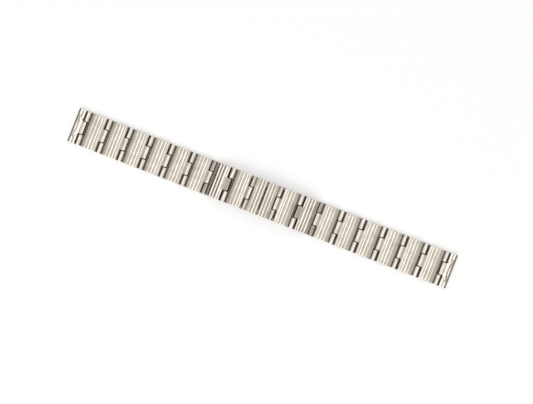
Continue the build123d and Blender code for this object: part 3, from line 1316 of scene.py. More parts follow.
@dataclass
class CentreLink:
    """The link at the middle of the bracelet, with a round nose that swings on the clasp arm.

    Args:
        knuckles: Sizes of the hinge.
        top: Sizes of the fluted top.
        step_top: Top of the step behind the valley.
        slope_end: Upper end of the shoulder's straight slope.
        crest: Place of the crest along X.
        grooves: Places and heights of the two grooves.
        lip: Where the last ridge ends over the nose.
        ridge_rise: Height of a ridge over its grooves.
        lip_rise: Height of the last ridge over its ends.
        nose_start: Angle at which the nose's round end starts, in degrees.
        nose_x: Place of the nose's axis along X.
        nose_z: Height of the nose's axis.
        nose_radius: Radius of the nose.
        eye_radius: Radius of the clasp arm's eye.
        eye_gap: Gap round the eye.
        eye_middle: Middle of the eye across the band.
        eye_width: Width of the eye.
        neck_width: Width of the eye's neck.
        neck_rise: How far the slot rises over the nose's axis.
        counts: Points of the ear, the top, the nose and the underside.
    """

    knuckles: Knuckles
    top: FlutedTop
    step_top: Point = (1.26, 0.95)
    slope_end: Point = (1.85, 1.16)
    crest: float = 2.4
    grooves: tuple[Point, Point] = ((2.96, 1.08), (4.4, 1.02))
    lip: Point = (5.4, 1.05)
    ridge_rise: float = 0.245
    lip_rise: float = 0.165
    nose_start: float = 30.0
    nose_x: float = 4.7
    nose_z: float = 0.2
    nose_radius: float = 1.05
    eye_radius: float = 0.73
    eye_gap: float = 0.08
    eye_middle: float = 5.55
    eye_width: float = 0.8
    neck_width: float = 0.8
    neck_rise: float = 0.353
    counts: tuple[int, ...] = (64, 120, 30, 10)

    def flutes(self) -> np.ndarray:
        """Top from the valley over a step, a slope, the crest and two ridges to the lip over the nose.

        Returns:
            Dense points.
        """
        crest = (self.crest, self.top.crest_height)
        slope = math.atan2(self.slope_end[1] - self.step_top[1], self.slope_end[0] - self.step_top[0])
        first, second = self.grooves
        return joined(
            cornered((self.top.foot, self.top.valley_height), self.step_top, self.slope_end),
            tangent_arc(self.slope_end, crest, slope),
            tangent_arc(crest, first, 0.0),
            bulge(first, second, self.ridge_rise),
            bulge(second, self.lip, self.lip_rise),
        )

    def mesh(self) -> Mesh:
        """Work out the link's mesh in its own frame, with its slots and holes.

        Returns:
            The shaded mesh in metres.
        """
        k = self.knuckles
        nose = round_arc((self.nose_x, self.nose_z), self.nose_radius, self.nose_start, -90.0)
        top = joined(self.flutes(), straight(self.lip, tuple(nose[0])))
        under = straight((self.nose_x, -k.radius), (k.clear, -k.radius))
        ear = self.top.ear(k)
        wall = self.top.wall(k)
        fineness = (self.counts, k.corner_blur, k.inset_blur)
        whole = Section.of([ear, top, nose, under], *fineness)
        inner = Section.of([wall, top, nose, under], *fineness)
        middle = inner.points.copy()
        middle[whole.starts[1]:] = whole.points[whole.starts[1]:]
        half = [Station(0.0, middle), Station(k.slot_half / 2, middle), Station(k.slot_half, middle)]
        half += k.ear_stations(whole)[1:]
        half += k.side_stations(whole, k.slot_half + k.inner_edge, self.top.crest_height)
        body = grid_mesh("fluted_centre_link", mirrored(half))
        ears = turned_bar("ear_drill", drill_radii(k.ear_bore, k.width / 2, k.bore_flare))
        nose_drill = turned_bar(
            "nose_drill", drill_radii(k.tongue_bore, k.width / 2, k.bore_flare), (self.nose_x, self.nose_z))
        slots = [self.eye_slot(sign * self.eye_middle) for sign in (-1, 1)]
        made = combined(body, [], [ears, nose_drill, *slots])
        # File work with painted shade on the ears' tops.
        marked(made, "filing_and_painted_shade", [k.filed_and_shaded_ears()])
        # Painted shade in the gaps round the ears.
        return marked(made, "painted_gap_shade", k.painted_ear_shade())

    def eye_slot(self, middle: float) -> Mesh:
        """Cutter for the slot in which one eye swings: a round pocket open below and inward.

        Args:
            middle: Y of the eye's middle.

        Returns:
            The cutter's mesh.
        """
        half_neck = self.neck_width / 2 + self.eye_gap
        radius = self.eye_radius + self.eye_gap
        low = -self.knuckles.radius - OVERRUN
        high = self.nose_z + self.neck_rise
        far = self.nose_x + self.nose_radius + OVERRUN
        start = math.degrees(math.acos(-half_neck / radius))
        end = math.degrees(math.asin((high - self.nose_z) / radius))
        near = self.nose_x - half_neck
        pocket = joined(
            straight((near, low), (near, self.nose_z - radius * math.sin(math.radians(start)))),
            round_arc((self.nose_x, self.nose_z), radius, 360.0 - start, end),
            cornered((self.nose_x + radius * math.cos(math.radians(end)), high), (far, high), (far, low)),
        )
        below = straight((far, low), (near, low))
        section = Section.of([pocket, below], (60, 8), blur=0.005, inset_blur=0.02)
        half = self.eye_width / 2 + self.eye_gap
        return grid_mesh("eye_slot", [Station(y, section.points) for y in (middle - half, middle + half)])


@dataclass
class EndLink:
    """The link at the end, with a tube for a spring bar, a raised middle and a tongue.

    Args:
        knuckles: Sizes of the hinge.
        length: Distance from the tongue's axis to the end.
        tube_radius: Outer radius of the tube.
        bar_bore: Radius of the tube's hole.
        middle: Heights along X through the raised middle: crest, groove, ridge and slope.
        sides: Heights along X through the sides: crest, groove and land.
        flare: How much half the raised middle widens for each millimetre outward.
        bow: How much further outward the ridge is at a distance from the middle of the band.
        bow_at: That distance.
        bow_most: Most that the bow grows to, as a share.
        bow_fade: Length over which it grows from the inner end.
        crease: Width of the crease along that border.
        spread: How far corners of the heights are evened out.
        rise: Where the tongue starts to rise, and its height there, from the tongue's axis.
        edge_drop: Height of the rounded inner edge.
        edge_fade: Length over which that edge falls.
        heel: Chamfer under the inner end.
        bore_mouth: Chamfer at the mouths of the tube's hole.
        counts: Points of the tube, the top, the inner end and the underside.
        middle_stations: Cross-sections through half the tongue.
        outer_stations: Cross-sections from there to the side.
        tongue_filing_and_shade: Where the tongue gets file work and painted shade, and how strongly.
        tube_painted_shade: Where the tube's steep outer side is painted darker as shade, with the file's
            strokes too, from the end, and how strongly.
        tip_shade: How far past the axis the painted shade on the tongue's tip starts.
        end_shade: How far before the inner end it gets painted shade.
    """

    knuckles: Knuckles
    length: float = 4.0
    tube_radius: float = 1.05
    bar_bore: float = 0.8
    middle: tuple[Point, ...] = (
        (-4.0, 1.25), (-2.72, 1.25), (-2.36, 1.0), (-2.0, 1.12), (-1.5, 1.135), (-1.25, 1.1), (-1.03, 1.06))
    sides: tuple[Point, ...] = (
        (-4.0, 1.25), (-2.65, 1.24), (-2.1, 1.05), (-1.8, 0.97), (-1.35, 0.94), (-1.03, 0.8))
    flare: float = 1.0
    bow: float = 0.35
    bow_at: float = 3.0
    bow_most: float = 1.5
    bow_fade: float = 0.6
    crease: float = 0.28
    spread: float = 0.06
    rise: Point = (0.68, 0.93)
    edge_drop: float = 0.05
    edge_fade: float = 0.05
    heel: float = 0.2
    bore_mouth: float = 0.08
    counts: tuple[int, ...] = (48, 110, 40, 8)
    middle_stations: int = 24
    outer_stations: int = 52
    tongue_filing_and_shade: tuple[float, float, float] = (-0.95, 0.9, 0.5)
    tube_painted_shade: tuple[float, float, float] = (-0.6, 0.8, 1.3)
    tip_shade: float = 0.52
    end_shade: float = 0.15

    @property
    def tube(self) -> Point:
        """Place of the tube's axis along X and its height."""
        return (self.tube_radius - self.length, self.tube_radius - self.knuckles.radius)

    def evened(self, x: np.ndarray, line: Sequence[Point]) -> np.ndarray:
        """Heights of a line of straight stretches, each the mean of its neighbours under a bell curve.

        Args:
            x: Places along X.
            line: Corners of the line.

        Returns:
            Heights.
        """
        steps = np.linspace(-2.0, 2.0, 9)
        weights = np.exp(-steps ** 2)
        places, heights = np.array(line).T
        return np.interp(x[:, None] + self.spread * steps, places, heights) @ (weights / weights.sum())

    def top_height(self, x: np.ndarray, y: float) -> np.ndarray:
        """Height of the top between the tube's crest and the inner end.

        A smooth step across the crease leads from the heights of the raised middle to those of the sides. The
        middle's heights are read further in by the bow times the square of Y, so that its ridge bows inward.

        Args:
            x: Places along X.
            y: Place across the band.

        Returns:
            Heights.
        """
        inner = -self.knuckles.clear
        outward = np.maximum(inner - x, 0.0)
        half = self.knuckles.tongue_width / 2 + self.crease / 2 + self.flare * outward
        step = np.clip((half - abs(y)) / self.crease + 0.5, 0.0, 1.0)
        raised = step * step * (3 - 2 * step)
        bowed = self.bow * np.minimum((y / self.bow_at) ** 2, self.bow_most)
        bowed *= np.clip(outward / self.bow_fade, 0.0, 1.0)
        web = self.evened(x + bowed, self.middle)
        side = self.evened(x, self.sides)
        return side + raised * (web - side) - self.edge_drop * np.exp((x - inner) / self.edge_fade)

    def mesh(self) -> Mesh:
        """Work out the end link's mesh in its own frame, with its holes.

        Returns:
            The shaded mesh in metres.
        """
        k = self.knuckles
        tube_x, tube_z = self.tube
        inner = -k.clear
        web_end = float(self.top_height(np.array([inner]), 0.0)[0])
        tube = round_arc(self.tube, self.tube_radius, 270.0, 90.0)
        top = straight((tube_x, tube_z + self.tube_radius), (inner, web_end))
        face = cornered((inner, web_end), (inner, self.heel - k.radius), (inner - self.heel, -k.radius))
        foot = (-self.rise[0], self.rise[1])
        tongue = tongue_line((inner, web_end), foot, (inner - self.heel, -k.radius), 0.0, k)
        under = straight((inner - self.heel, -k.radius), (tube_x, -k.radius))
        fineness = (self.counts, k.corner_blur, k.inset_blur)
        plain = Section.of([tube, top, face, under], *fineness)
        tongued = Section.of([tube, top, tongue, under], *fineness)

        def lifted(outline: np.ndarray, y: float, with_tongue: bool) -> np.ndarray:
            """The outline with its top at this place's heights, and the inner end drawn down to meet it.

            Args:
                outline: Points of the outline.
                y: Place across the band.
                with_tongue: Whether the outline goes round the tongue.

            Returns:
                The moved points.
            """
            held = outline.copy()
            rows = plain.rows(1)
            sink = outline[rows, 1] - np.interp(
                outline[rows, 0], [tube_x, inner], [tube_z + self.tube_radius, web_end])
            held[rows, 1] = self.top_height(outline[rows, 0], y) + sink
            if not with_tongue:
                rows = plain.rows(2)
                end_height = float(self.top_height(np.array([inner]), y)[0])
                share = (end_height + k.radius) / (web_end + k.radius)
                held[rows, 1] = (outline[rows, 1] + k.radius) * share - k.radius
            return held

        half_tongue, side = k.tongue_width / 2, k.width / 2
        half = [
            Station(y, lifted(tongued.points, y, True))
            for y in np.linspace(0.0, half_tongue - k.inner_edge, self.middle_stations)]
        for back, depth in rounding(k.inner_edge, k.inner_steps):
            y = half_tongue - back
            half.append(Station(y, lifted(tongued.inset_stretch(2, depth, k.edge_fade), y, True)))
        for y in np.linspace(half_tongue, side - k.edge, self.outer_stations):
            half.append(Station(y, lifted(plain.points, y, False)))
        for back, depth in rounding(k.edge, k.edge_steps):
            outline = lifted(plain.points, side - back, False)
            half.append(Station(side - back, outline + depth * plain.inward))
        body = grid_mesh("fluted_end_link", mirrored(half))
        drill = turned_bar("bar_drill", drill_radii(self.bar_bore, side, self.bore_mouth), self.tube)
        tongue_drill = turned_bar("tongue_drill", drill_radii(k.tongue_bore, half_tongue, k.bore_flare))
        made = combined(body, [], [drill, tongue_drill])
        # File work with painted shade on the tongue.
        start, end, share = self.tongue_filing_and_shade
        # Painted shade on the tube's steep outer side, which also gets the file's strokes.
        tube_start, tube_end, tube_share = self.tube_painted_shade
        marked(made, "filing_and_painted_shade", [
            Patch(start, end, 0.0, half_tongue, share),
            Patch(tube_start - self.length, tube_end - self.length, 0.0, k.width, tube_share)])
        # Painted shade in the gaps: on the tongue and on the inner end beside it.
        return marked(made, "painted_gap_shade", [
            *k.painted_tongue_shade(0.0, self.tip_shade),
            Patch(inner - self.end_shade, 0.0, half_tongue + k.end_shade_gap, k.width, fade=0.12)])


@dataclass(frozen=True)
class PlainPin:
    """A turned pin with chamfered, slightly domed ends.

    Args:
        radius: Radius of the pin.
        half_length: Half its length.
        chamfer: Chamfer of its ends.
        dome_share: Height of the domes past the chamfers, as a share of the chamfer.
    """

    radius: float
    half_length: float
    chamfer: float
    dome_share: float = 0.3

    def mesh(self, name: str) -> Mesh:
        """Mesh of the pin on an axis across the band through the origin."""
        dome, far = self.dome_share * self.chamfer, self.half_length
        return smooth_faced(turned_bar(name, both_ways([
            (far - dome - self.chamfer, self.radius), (far - dome, self.radius - self.chamfer),
            (far - dome / 4, self.radius / 2), (far, self.radius / 8)])))


@dataclass
class ClaspBase:
    """The clasp's bowed base plate, with a hinge barrel at each end and two rails that hold the catch pins.

    Args:
        barrel_place: Place of the left barrel's axis: X and height.
        catch_place: Place of the right catch pin: X and height.
        width: Width of the plate.
        thickness: Thickness of the plate.
        end_height: Height of the plate's underside at its ends.
        rise: How much higher its middle is.
        barrel_radius: Outer radius of a barrel.
        barrel_bore: Radius of the hole in a barrel.
        rail_round: Radius of a rail's ends.
        rail_inner: Y of a rail's inner side.
        rail_thickness: Thickness of a rail.
        catch_bore: Radius of the holes for the catch pins.
        edge: Radius of the plate's edges.
        rail_edge: Radius of the rails' edges.
        barrel_mouth: Chamfer at the mouths of the barrels' holes.
        catch_mouth: Chamfer at the mouths of the catch pins' holes.
        catch_points: Points round those holes.
    """

    barrel_place: Point
    catch_place: Point
    width: float = 10.0
    thickness: float = 0.8
    end_height: float = 0.3
    rise: float = 0.6
    barrel_radius: float = 1.1
    barrel_bore: float = 0.54
    rail_round: float = 0.6
    rail_inner: float = 2.1
    rail_thickness: float = 1.0
    catch_bore: float = 0.36
    edge: float = 0.12
    rail_edge: float = 0.08
    barrel_mouth: float = 0.06
    catch_mouth: float = 0.03
    catch_points: int = 40

    def plate_line(self, start: float, end: float, height: float) -> np.ndarray:
        """Points on a side of the bowed plate: a height plus the rise times one less X's share squared."""
        x = np.linspace(start, end, math.ceil(abs(end - start) / DENSE_STEP) + 1)
        return np.stack([x, height + self.rise * (1 - (x / self.barrel_place[0]) ** 2)], axis=1)

    def crossing(self, height: float, below: bool) -> Point:
        """Where a side of the plate meets the left barrel's circle, found by halving.

        Args:
            height: Height of that side at the plate's ends.
            below: Whether it is the underside.

        Returns:
            X and the angle, in degrees.
        """
        x, z = self.barrel_place
        low, high = 0.0, self.barrel_radius
        for _ in range(40):
            middle = (low + high) / 2
            line = height + self.rise * (1 - ((x + middle) / x) ** 2) - z
            arc = math.sqrt(self.barrel_radius ** 2 - middle ** 2)
            inside = line > -arc if below else line < arc
            low, high = (middle, high) if inside else (low, middle)
        return x + low, math.degrees(math.acos(low / self.barrel_radius)) * (-1 if below else 1)

    def mesh(self) -> Mesh:
        """Work out the base's mesh at its place, with its holes.

        Returns:
            The shaded mesh in metres.
        """
        x, z = self.barrel_place
        top_height = self.end_height + self.thickness
        top_x, top_angle = self.crossing(top_height, False)
        under_x, under_angle = self.crossing(self.end_height, True)
        left = round_arc((x, z), self.barrel_radius, 360.0 + under_angle, top_angle)
        right = round_arc((-x, z), self.barrel_radius, 180.0 - top_angle, -180.0 - under_angle)
        outline = [left, self.plate_line(top_x, -top_x, top_height), right,
                   self.plate_line(-under_x, under_x, self.end_height)]
        section = Section.of(outline, (60, 60, 60, 60), blur=0.03, inset_blur=0.12)
        body = bar("clasp_base", section, -self.width / 2, self.width / 2, self.edge)
        half = self.rail_thickness / 2
        rails = [
            bar("rail", self.rail(), middle - half, middle + half, self.rail_edge)
            for middle in (-self.rail_inner - half, self.rail_inner + half)]
        barrel_hole = drill_radii(self.barrel_bore, self.width / 2, self.barrel_mouth)
        catch_hole = drill_radii(self.catch_bore, self.rail_inner + self.rail_thickness, self.catch_mouth)
        catch_x, catch_z = self.catch_place
        drills = []
        for sign in (-1, 1):
            drills.append(turned_bar("barrel_drill", barrel_hole, (sign * x, z)))
            drills.append(turned_bar("catch_drill", catch_hole, (sign * catch_x, catch_z), self.catch_points))
        return combined(body, rails, drills)

    def rail(self) -> Section:
        """Outline of a rail: straight ends, a flat top between round shoulders, and a foot in the plate.

        Returns:
            The outline.
        """
        x, z = self.catch_place
        low = self.end_height + self.thickness
        reach = x + self.rail_round
        top = joined(
            straight((-reach, low), (-reach, z)),
            round_arc((-x, z), self.rail_round, 180.0, 90.0),
            straight((-x, z + self.rail_round), (x, z + self.rail_round)),
            round_arc((x, z), self.rail_round, 90.0, 0.0),
            straight((reach, z), (reach, low)),
        )
        return Section.of([top, straight((reach, low), (-reach, low))], (90, 12), blur=0.02, inset_blur=0.1)


@dataclass
class ClaspArm:
    """A clasp arm pressed from sheet: a plate between two flanges, which carry hinge eyes and nose eyes.

    Args:
        length: Distance from the arm's hinge to the nose's axis.
        barrel_radius: Radius of the flanges round the hinge.
        hinge_bore: Radius of the hole for the arm hinge pin.
        plate_low: Height of the plate's underside.
        plate_top: Height of the plate's top.
        lip: Height of the flanges' lower edge at the free end.
        flange_inner: Y of a flange's inner side.
        flange_outer: Y of a flange's outer side.
        neck: Half the width of an eye's neck.
        eye_height: Height of the eye's axis.
        eye_radius: Radius of the eye.
        nose_bore: Radius of the hole for the nose pin.
        hinge_mouth: Chamfer at the mouths of the hinge's hole.
        nose_mouth: Chamfer at the mouths of the nose's hole.
        bend: Radius of the flanges' edges.
        hidden_edge: Radius of the plate's edges inside the flanges.
        blur: How far corners of an outline are rounded.
        inset_blur: How far the ways inward are evened out along an outline.
    """

    length: float = 12.3
    barrel_radius: float = 1.1
    hinge_bore: float = 0.51
    plate_low: float = 1.6
    plate_top: float = 2.4
    lip: float = 0.9
    flange_inner: float = 5.15
    flange_outer: float = 5.95
    neck: float = 0.4
    eye_height: float = 3.5
    eye_radius: float = 0.73
    nose_bore: float = 0.41
    hinge_mouth: float = 0.05
    nose_mouth: float = 0.03
    bend: float = 0.12
    hidden_edge: float = 0.01
    blur: float = 0.04
    inset_blur: float = 0.12

    def flange(self) -> Section:
        """Outline of a flange, clockwise from where its lower edge leaves the barrel's circle.

        Returns:
            The outline.
        """
        radius = self.barrel_radius
        end = self.length + self.neck
        under = math.atan2(self.lip + radius, end)
        front = math.atan2(self.plate_top, radius)
        start_angle = -90.0 + math.degrees(2 * under)
        front_angle = math.degrees(math.pi - 2 * (math.pi / 2 - front))
        barrel = round_arc((0.0, 0.0), radius, 360.0 + start_angle, front_angle)
        root = self.eye_height - math.sqrt(self.eye_radius ** 2 - self.neck ** 2)
        lean = math.degrees(math.acos(self.neck / self.eye_radius))
        near = self.length - self.neck
        line = joined(
            barrel,
            straight(tuple(barrel[-1]), (0.0, self.plate_top)),
            cornered((0.0, self.plate_top), (near, self.plate_top), (near, root)),
            round_arc((self.length, self.eye_height), self.eye_radius, 180.0 + lean, -lean),
            straight((end, root), (end, self.lip)),
        )
        under = straight((end, self.lip), tuple(barrel[0]))
        return Section.of([line, under], (230, 40), self.blur, self.inset_blur)

    def plate(self) -> Section:
        """Outline of the plate, whose outer end slopes as the flanges do.

        Returns:
            The outline.
        """
        slope = self.barrel_radius / self.plate_top
        front = (slope * self.plate_low - self.barrel_radius, self.plate_low)
        end = self.length + self.neck
        top = cornered(front, (0.0, self.plate_top), (end, self.plate_top), (end, self.plate_low))
        under = straight((end, self.plate_low), front)
        return Section.of([top, under], (60, 30), self.blur, self.inset_blur)

    def mesh(self) -> Mesh:
        """Work out the arm's mesh in its own frame, with its holes.

        Returns:
            The shaded mesh in metres.
        """
        section = self.flange()
        lap = self.flange_inner + 2 * self.bend
        body = bar("clasp_arm", section, self.flange_inner, self.flange_outer, self.bend)
        flange = bar("flange", section, -self.flange_outer, -self.flange_inner, self.bend)
        plate = bar("plate", self.plate(), -lap, lap, self.hidden_edge, 1)
        hinge_hole = drill_radii(self.hinge_bore, self.flange_outer, self.hinge_mouth)
        nose_hole = drill_radii(self.nose_bore, self.flange_outer, self.nose_mouth)
        return combined(body, [flange, plate], [
            turned_bar("hinge_drill", hinge_hole),
            turned_bar("nose_drill", nose_hole, (self.length, self.eye_height))])


@dataclass
class CatchClip:
    """A spring clip under an arm's plate, whose open jaw snaps over a catch pin of the base.

    Args:
        reach: Place of the jaw along X from the arm's hinge.
        height: Height of the jaw's middle.
        outer: Outer radius of the jaw.
        inner: Inner radius of the jaw.
        depth: How far the jaw's legs go down.
        stem: Half the width of the stem.
        plate_low: Height of the plate's underside.
        width: Width of the clip across the band.
        edge: Radius of its edges.
    """

    reach: float
    height: float
    outer: float = 0.75
    inner: float = 0.43
    depth: float = 0.45
    stem: float = 0.5
    plate_low: float = 1.6
    width: float = 3.8
    edge: float = 0.06

    def mesh(self) -> Mesh:
        """Work out the clip's mesh in the arm's frame.

        The jaw leans so that it opens along its way round the arm's hinge: each point of its legs is turned.

        Returns:
            The shaded mesh in metres.
        """
        lean = math.atan2(self.height, self.reach)
        turn = np.array([[math.cos(lean), math.sin(lean)], [-math.sin(lean), math.cos(lean)]])
        middle = np.array([self.reach, self.height])

        def leg(*corners: Point) -> np.ndarray:
            """Straight lines between corners given from the jaw's middle, turned with it."""
            return cornered(*corners) @ turn + middle

        shoulder = math.degrees(math.acos(self.stem / self.outer))
        tilt = math.degrees(lean)
        rise = self.outer * math.sin(math.radians(shoulder))
        place = (self.reach, self.height)
        near, far, high = self.reach - self.stem, self.reach + self.stem, self.height + rise
        line = joined(
            leg((-self.outer, -self.depth), (-self.outer, 0.0)),
            round_arc(place, self.outer, 180.0 + tilt, 180.0 - shoulder),
            cornered((near, high), (near, self.plate_low), (far, self.plate_low), (far, high)),
            round_arc(place, self.outer, shoulder, tilt),
            leg((self.outer, 0.0), (self.outer, -self.depth), (self.inner, -self.depth), (self.inner, 0.0)),
            round_arc(place, self.inner, tilt, 180.0 + tilt),
        )
        tail = leg((-self.inner, 0.0), (-self.inner, -self.depth), (-self.outer, -self.depth))
        section = Section.of([line, tail], (190, 20), blur=0.02, inset_blur=0.04)
        return smooth_faced(bar("catch_clip", section, -self.width / 2, self.width / 2, self.edge))


# Studio


@dataclass(frozen=True)
class Lamp:
    """A square soft lamp that looks at the object's middle.

    Args:
        name: Name of the lamp.
        azimuth: Direction from the object, in degrees from +X towards +Y.
        elevation: Height over the floor, in degrees.
        distance: Distance, in metres.
        size: Side of the lamp, in metres.
        power: Power, in watts.
    """

    name: str
    azimuth: float
    elevation: float
    distance: float
    size: float
    power: float

    def place(self) -> None:
        """Put the lamp in the scene."""
        light = bpy.data.lights.new(self.name, "AREA")
        light.energy = self.power
        light.size = self.size
        lamp = in_scene(self.name, light)
        across, up = math.radians(self.azimuth), math.radians(self.elevation)
        lamp.location = (
            self.distance * math.cos(up) * math.cos(across),
            self.distance * math.cos(up) * math.sin(across),
            self.distance * math.sin(up),
        )
        lamp.rotation_euler = (math.pi / 2 - up, 0.0, across + math.pi / 2)


@dataclass
class Studio:
    """White floor, soft sky and lamps, and the camera straight above.

    Args:
        floor_radius: Radius of the round floor, in metres.
        floor_rings: Radii of its rings of points, as shares.
        floor_points: Points of a ring.
        floor_gap: How far the floor lies below the object, in metres, so that no faces fall together.
        floor_colour: Colour of the floor.
        floor_glow: Share of plain white that the camera, metal and glass see in the open floor.
        white: Colour of plain white.
        shade_reach: Distance within which the object shades the floor's plain white.
        card_shade_ends: Openness where the card's painted shade makes it black and where it has its whole
            colour.
        glow_ends: Openness where the plain white is gone and where it is whole.
        sky: Pairs of direction height and share of the sky's greatest brightness.
        sky_tint: Colour of the sky away from its brightest part overhead.
        top_tint: Colour of that brightest part.
        sky_strength: Greatest brightness of the sky.
        sky_lean: How much brighter the sky grows towards +X, as a share that goes with X.
        low_lean: How much brighter the sky grows towards +X low over the horizon, as a share of X's power.
        low_power: That power.
        sky_least: Least share that both leave of the sky's brightness.
        camera_place: Place of the camera, in metres.
        camera_turn: Turn of the camera about Z, in degrees.
        sensor: Width of the camera's sensor, in millimetres.
        lens: Focal length for that sensor, in millimetres.
        clip: Nearest distance that the camera shows, in metres.
    """

    floor_radius: float = 4.0
    floor_rings: tuple[float, ...] = (0.04, 0.12, 0.3, 0.6, 1.0)
    floor_points: int = 96
    floor_gap: float = 0.00002
    floor_colour: str = "#FDFDFD"
    floor_glow: float = 0.7
    white: str = "#FFFFFF"
    shade_reach: float = 0.02
    card_shade_ends: Point = (0.12, 0.45)
    glow_ends: Point = (0.15, 0.8)
    sky: tuple[Point, ...] = (
        (0.0, 0.03), (0.25, 0.09), (0.5, 0.2), (0.743, 0.38), (0.93, 0.37), (0.965, 0.48), (0.988, 1.0))
    sky_tint: str = "#FFFCF7"
    top_tint: str = "#F8FAFF"
    sky_strength: float = 1.8
    sky_lean: float = -0.2
    low_lean: float = 1.9
    low_power: float = 9.0
    sky_least: float = 0.1
    camera_place: tuple[float, float, float] = (0.00198, -0.00083, 0.9)
    camera_turn: float = 21.35
    sensor: float = 36.0
    lens: float = 153.46
    clip: float = 0.01
    lamps: tuple[Lamp, ...] = (
        Lamp("front_lamp", -100.0, 52.0, 1.2, 0.6, 6.8),
        Lamp("back_lamp", 80.0, 50.0, 1.3, 0.6, 2.5),
    )

    def floor(self) -> None:
        """Build the floor: rings of points, each the radius times a share, on the level of the table."""
        angle = np.linspace(0.0, 2 * math.pi, self.floor_points, endpoint=False)
        share = np.array(self.floor_rings)
        place = np.zeros((len(share), len(angle), 3))
        place[..., 0] = self.floor_radius * share[:, None] * np.cos(angle)
        place[..., 1] = self.floor_radius * share[:, None] * np.sin(angle)
        place[..., 2] = -self.floor_gap
        first = np.arange(place[..., 0].size).reshape(place.shape[:2])
        after = np.roll(first, -1, axis=1)
        quads = np.stack([first[:-1], first[1:], after[1:], after[:-1]], axis=-1).reshape(-1, 4)
        mesh = bpy.data.meshes.new("floor")
        mesh.from_pydata(place.reshape(-1, 3).tolist(), [], quads.tolist() + [first[0].tolist()])
        mesh.materials.append(self.floor_material())
        floor = in_scene("floor", mesh)

    def floor_material(self) -> Material:
        """White card: dull white that keeps the shadow, with a share of plain white for camera and metal.

        Under the object the plain white fades, and the card carries painted shade, which makes it dark in its
        narrow gaps.

        Returns:
            The material.
        """
        # Uncoated card: even white without a shine, on which the shadow lies softly.
        made = bpy.data.materials.new("white card, matt, uncoated")
        tree = emptied(made)
        open_share = openness(tree, self.shade_reach)
        dull_white = linear(self.floor_colour)[:3]
        # Painted shade: the card's colour is darkened by how closed in each place is, down to black in the
        # narrow gaps under the object.
        colour = add(
            tree, "ShaderNodeVectorMath", {"operation": "SCALE", "inputs": {0: dull_white}},
            Scale=ranged(tree, open_share, self.card_shade_ends)).outputs["Vector"]
        card = add(tree, "ShaderNodeBsdfDiffuse", Color=colour).outputs["BSDF"]
        plain = {"inputs": {"Color": linear(self.white), "Strength": 1.0}}
        glow = add(tree, "ShaderNodeEmission", plain).outputs["Emission"]
        ray = add(tree, "ShaderNodeLightPath").outputs
        seen = counted(tree, "MAXIMUM", ray["Is Camera Ray"], ray["Is Glossy Ray"])
        seen = counted(tree, "MAXIMUM", seen, ray["Is Transmission Ray"])
        open_glow = ranged(tree, open_share, self.glow_ends, (0.0, self.floor_glow))
        share = counted(tree, "MULTIPLY", seen, open_glow)
        mixed = add(tree, "ShaderNodeMixShader", n0=share, n1=card, n2=glow)
        add(tree, "ShaderNodeOutputMaterial", Surface=mixed.outputs["Shader"])
        return made

    def world(self) -> None:
        """Sky that is brightest overhead and falls towards the horizon, and plain white to the camera."""
        world = bpy.data.worlds.new("studio sky")
        bpy.context.scene.world = world
        tree = emptied(world)
        way = add(tree, "ShaderNodeTexCoord").outputs["Generated"]
        parts = add(tree, "ShaderNodeSeparateXYZ", Vector=way).outputs
        low_down, most = counted(tree, "POWER", parts["X"], self.low_power), self.sky_strength
        strength = counted(tree, "MULTIPLY_ADD", low_down, self.low_lean * most, most)
        strength = counted(tree, "MULTIPLY_ADD", parts["X"], self.sky_lean * most, strength)
        strength = counted(tree, "MAXIMUM", strength, self.sky_least)
        ramp = add(tree, "ShaderNodeValToRGB", Fac=parts["Z"])
        stops = ramp.color_ramp.elements
        for number, (place, level) in enumerate(self.sky):
            stop = stops[number] if number < 2 else stops.new(place)
            stop.position = place
            tint = linear(self.sky_tint if level < 1.0 else self.top_tint)
            stop.color = (level * tint[0], level * tint[1], level * tint[2], 1.0)
        lit = add(tree, "ShaderNodeBackground", Color=ramp.outputs["Color"], Strength=strength).outputs[0]
        plain = add(tree, "ShaderNodeBackground", {"inputs": {"Color": linear(self.white)}}).outputs[0]
        shown = add(tree, "ShaderNodeLightPath").outputs["Is Camera Ray"]
        mixed = add(tree, "ShaderNodeMixShader", n0=shown, n1=lit, n2=plain)
        add(tree, "ShaderNodeOutputWorld", Surface=mixed.outputs["Shader"])

    def camera(self) -> None:
        """Camera at the photograph's viewing angle."""
        view = bpy.data.cameras.new("camera")
        view.sensor_width = self.sensor
        view.lens = self.lens
        view.clip_start = self.clip
        camera = in_scene("camera", view)
        camera.location = self.camera_place
        camera.rotation_euler = (0.0, 0.0, math.radians(self.camera_turn))
        bpy.context.scene.camera = camera

    def build(self) -> None:
        """Build the floor, the sky, the lamps and the camera."""
        self.floor()
        self.world()
        for lamp in self.lamps:
            lamp.place()
        self.camera()
        bpy.context.scene.view_settings.view_transform = "Standard"


# Assembly


@dataclass
class Workshop:
    """Puts pieces in the scene.

    Args:
        hinges: Hinges of the left half by piece.
        finishes: Material of each slot.
    """

    hinges: dict[str, Hinge]
    finishes: dict[Slot, Material]

    def fit(self, name: str, mesh: Mesh, place: Matrix, slot: Slot, body: str, node: str) -> None:
        """Put a copy of a mesh in place as one piece.

        Args:
            name: Name of the piece.
            mesh: Mesh in the piece's own frame.
            place: Matrix that takes it to its place.
            slot: Material slot.
            body: Body that it moves with.
            node: CAD node that it stands for.
        """
        data = mesh.copy()
        data.name = name
        data.transform(place)
        data.materials.clear()
        data.materials.append(self.finishes[slot])
        piece = in_scene(name, data)
        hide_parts(node)
        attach(piece, body)
        log.info("%s: %d faces", name, len(data.polygons))


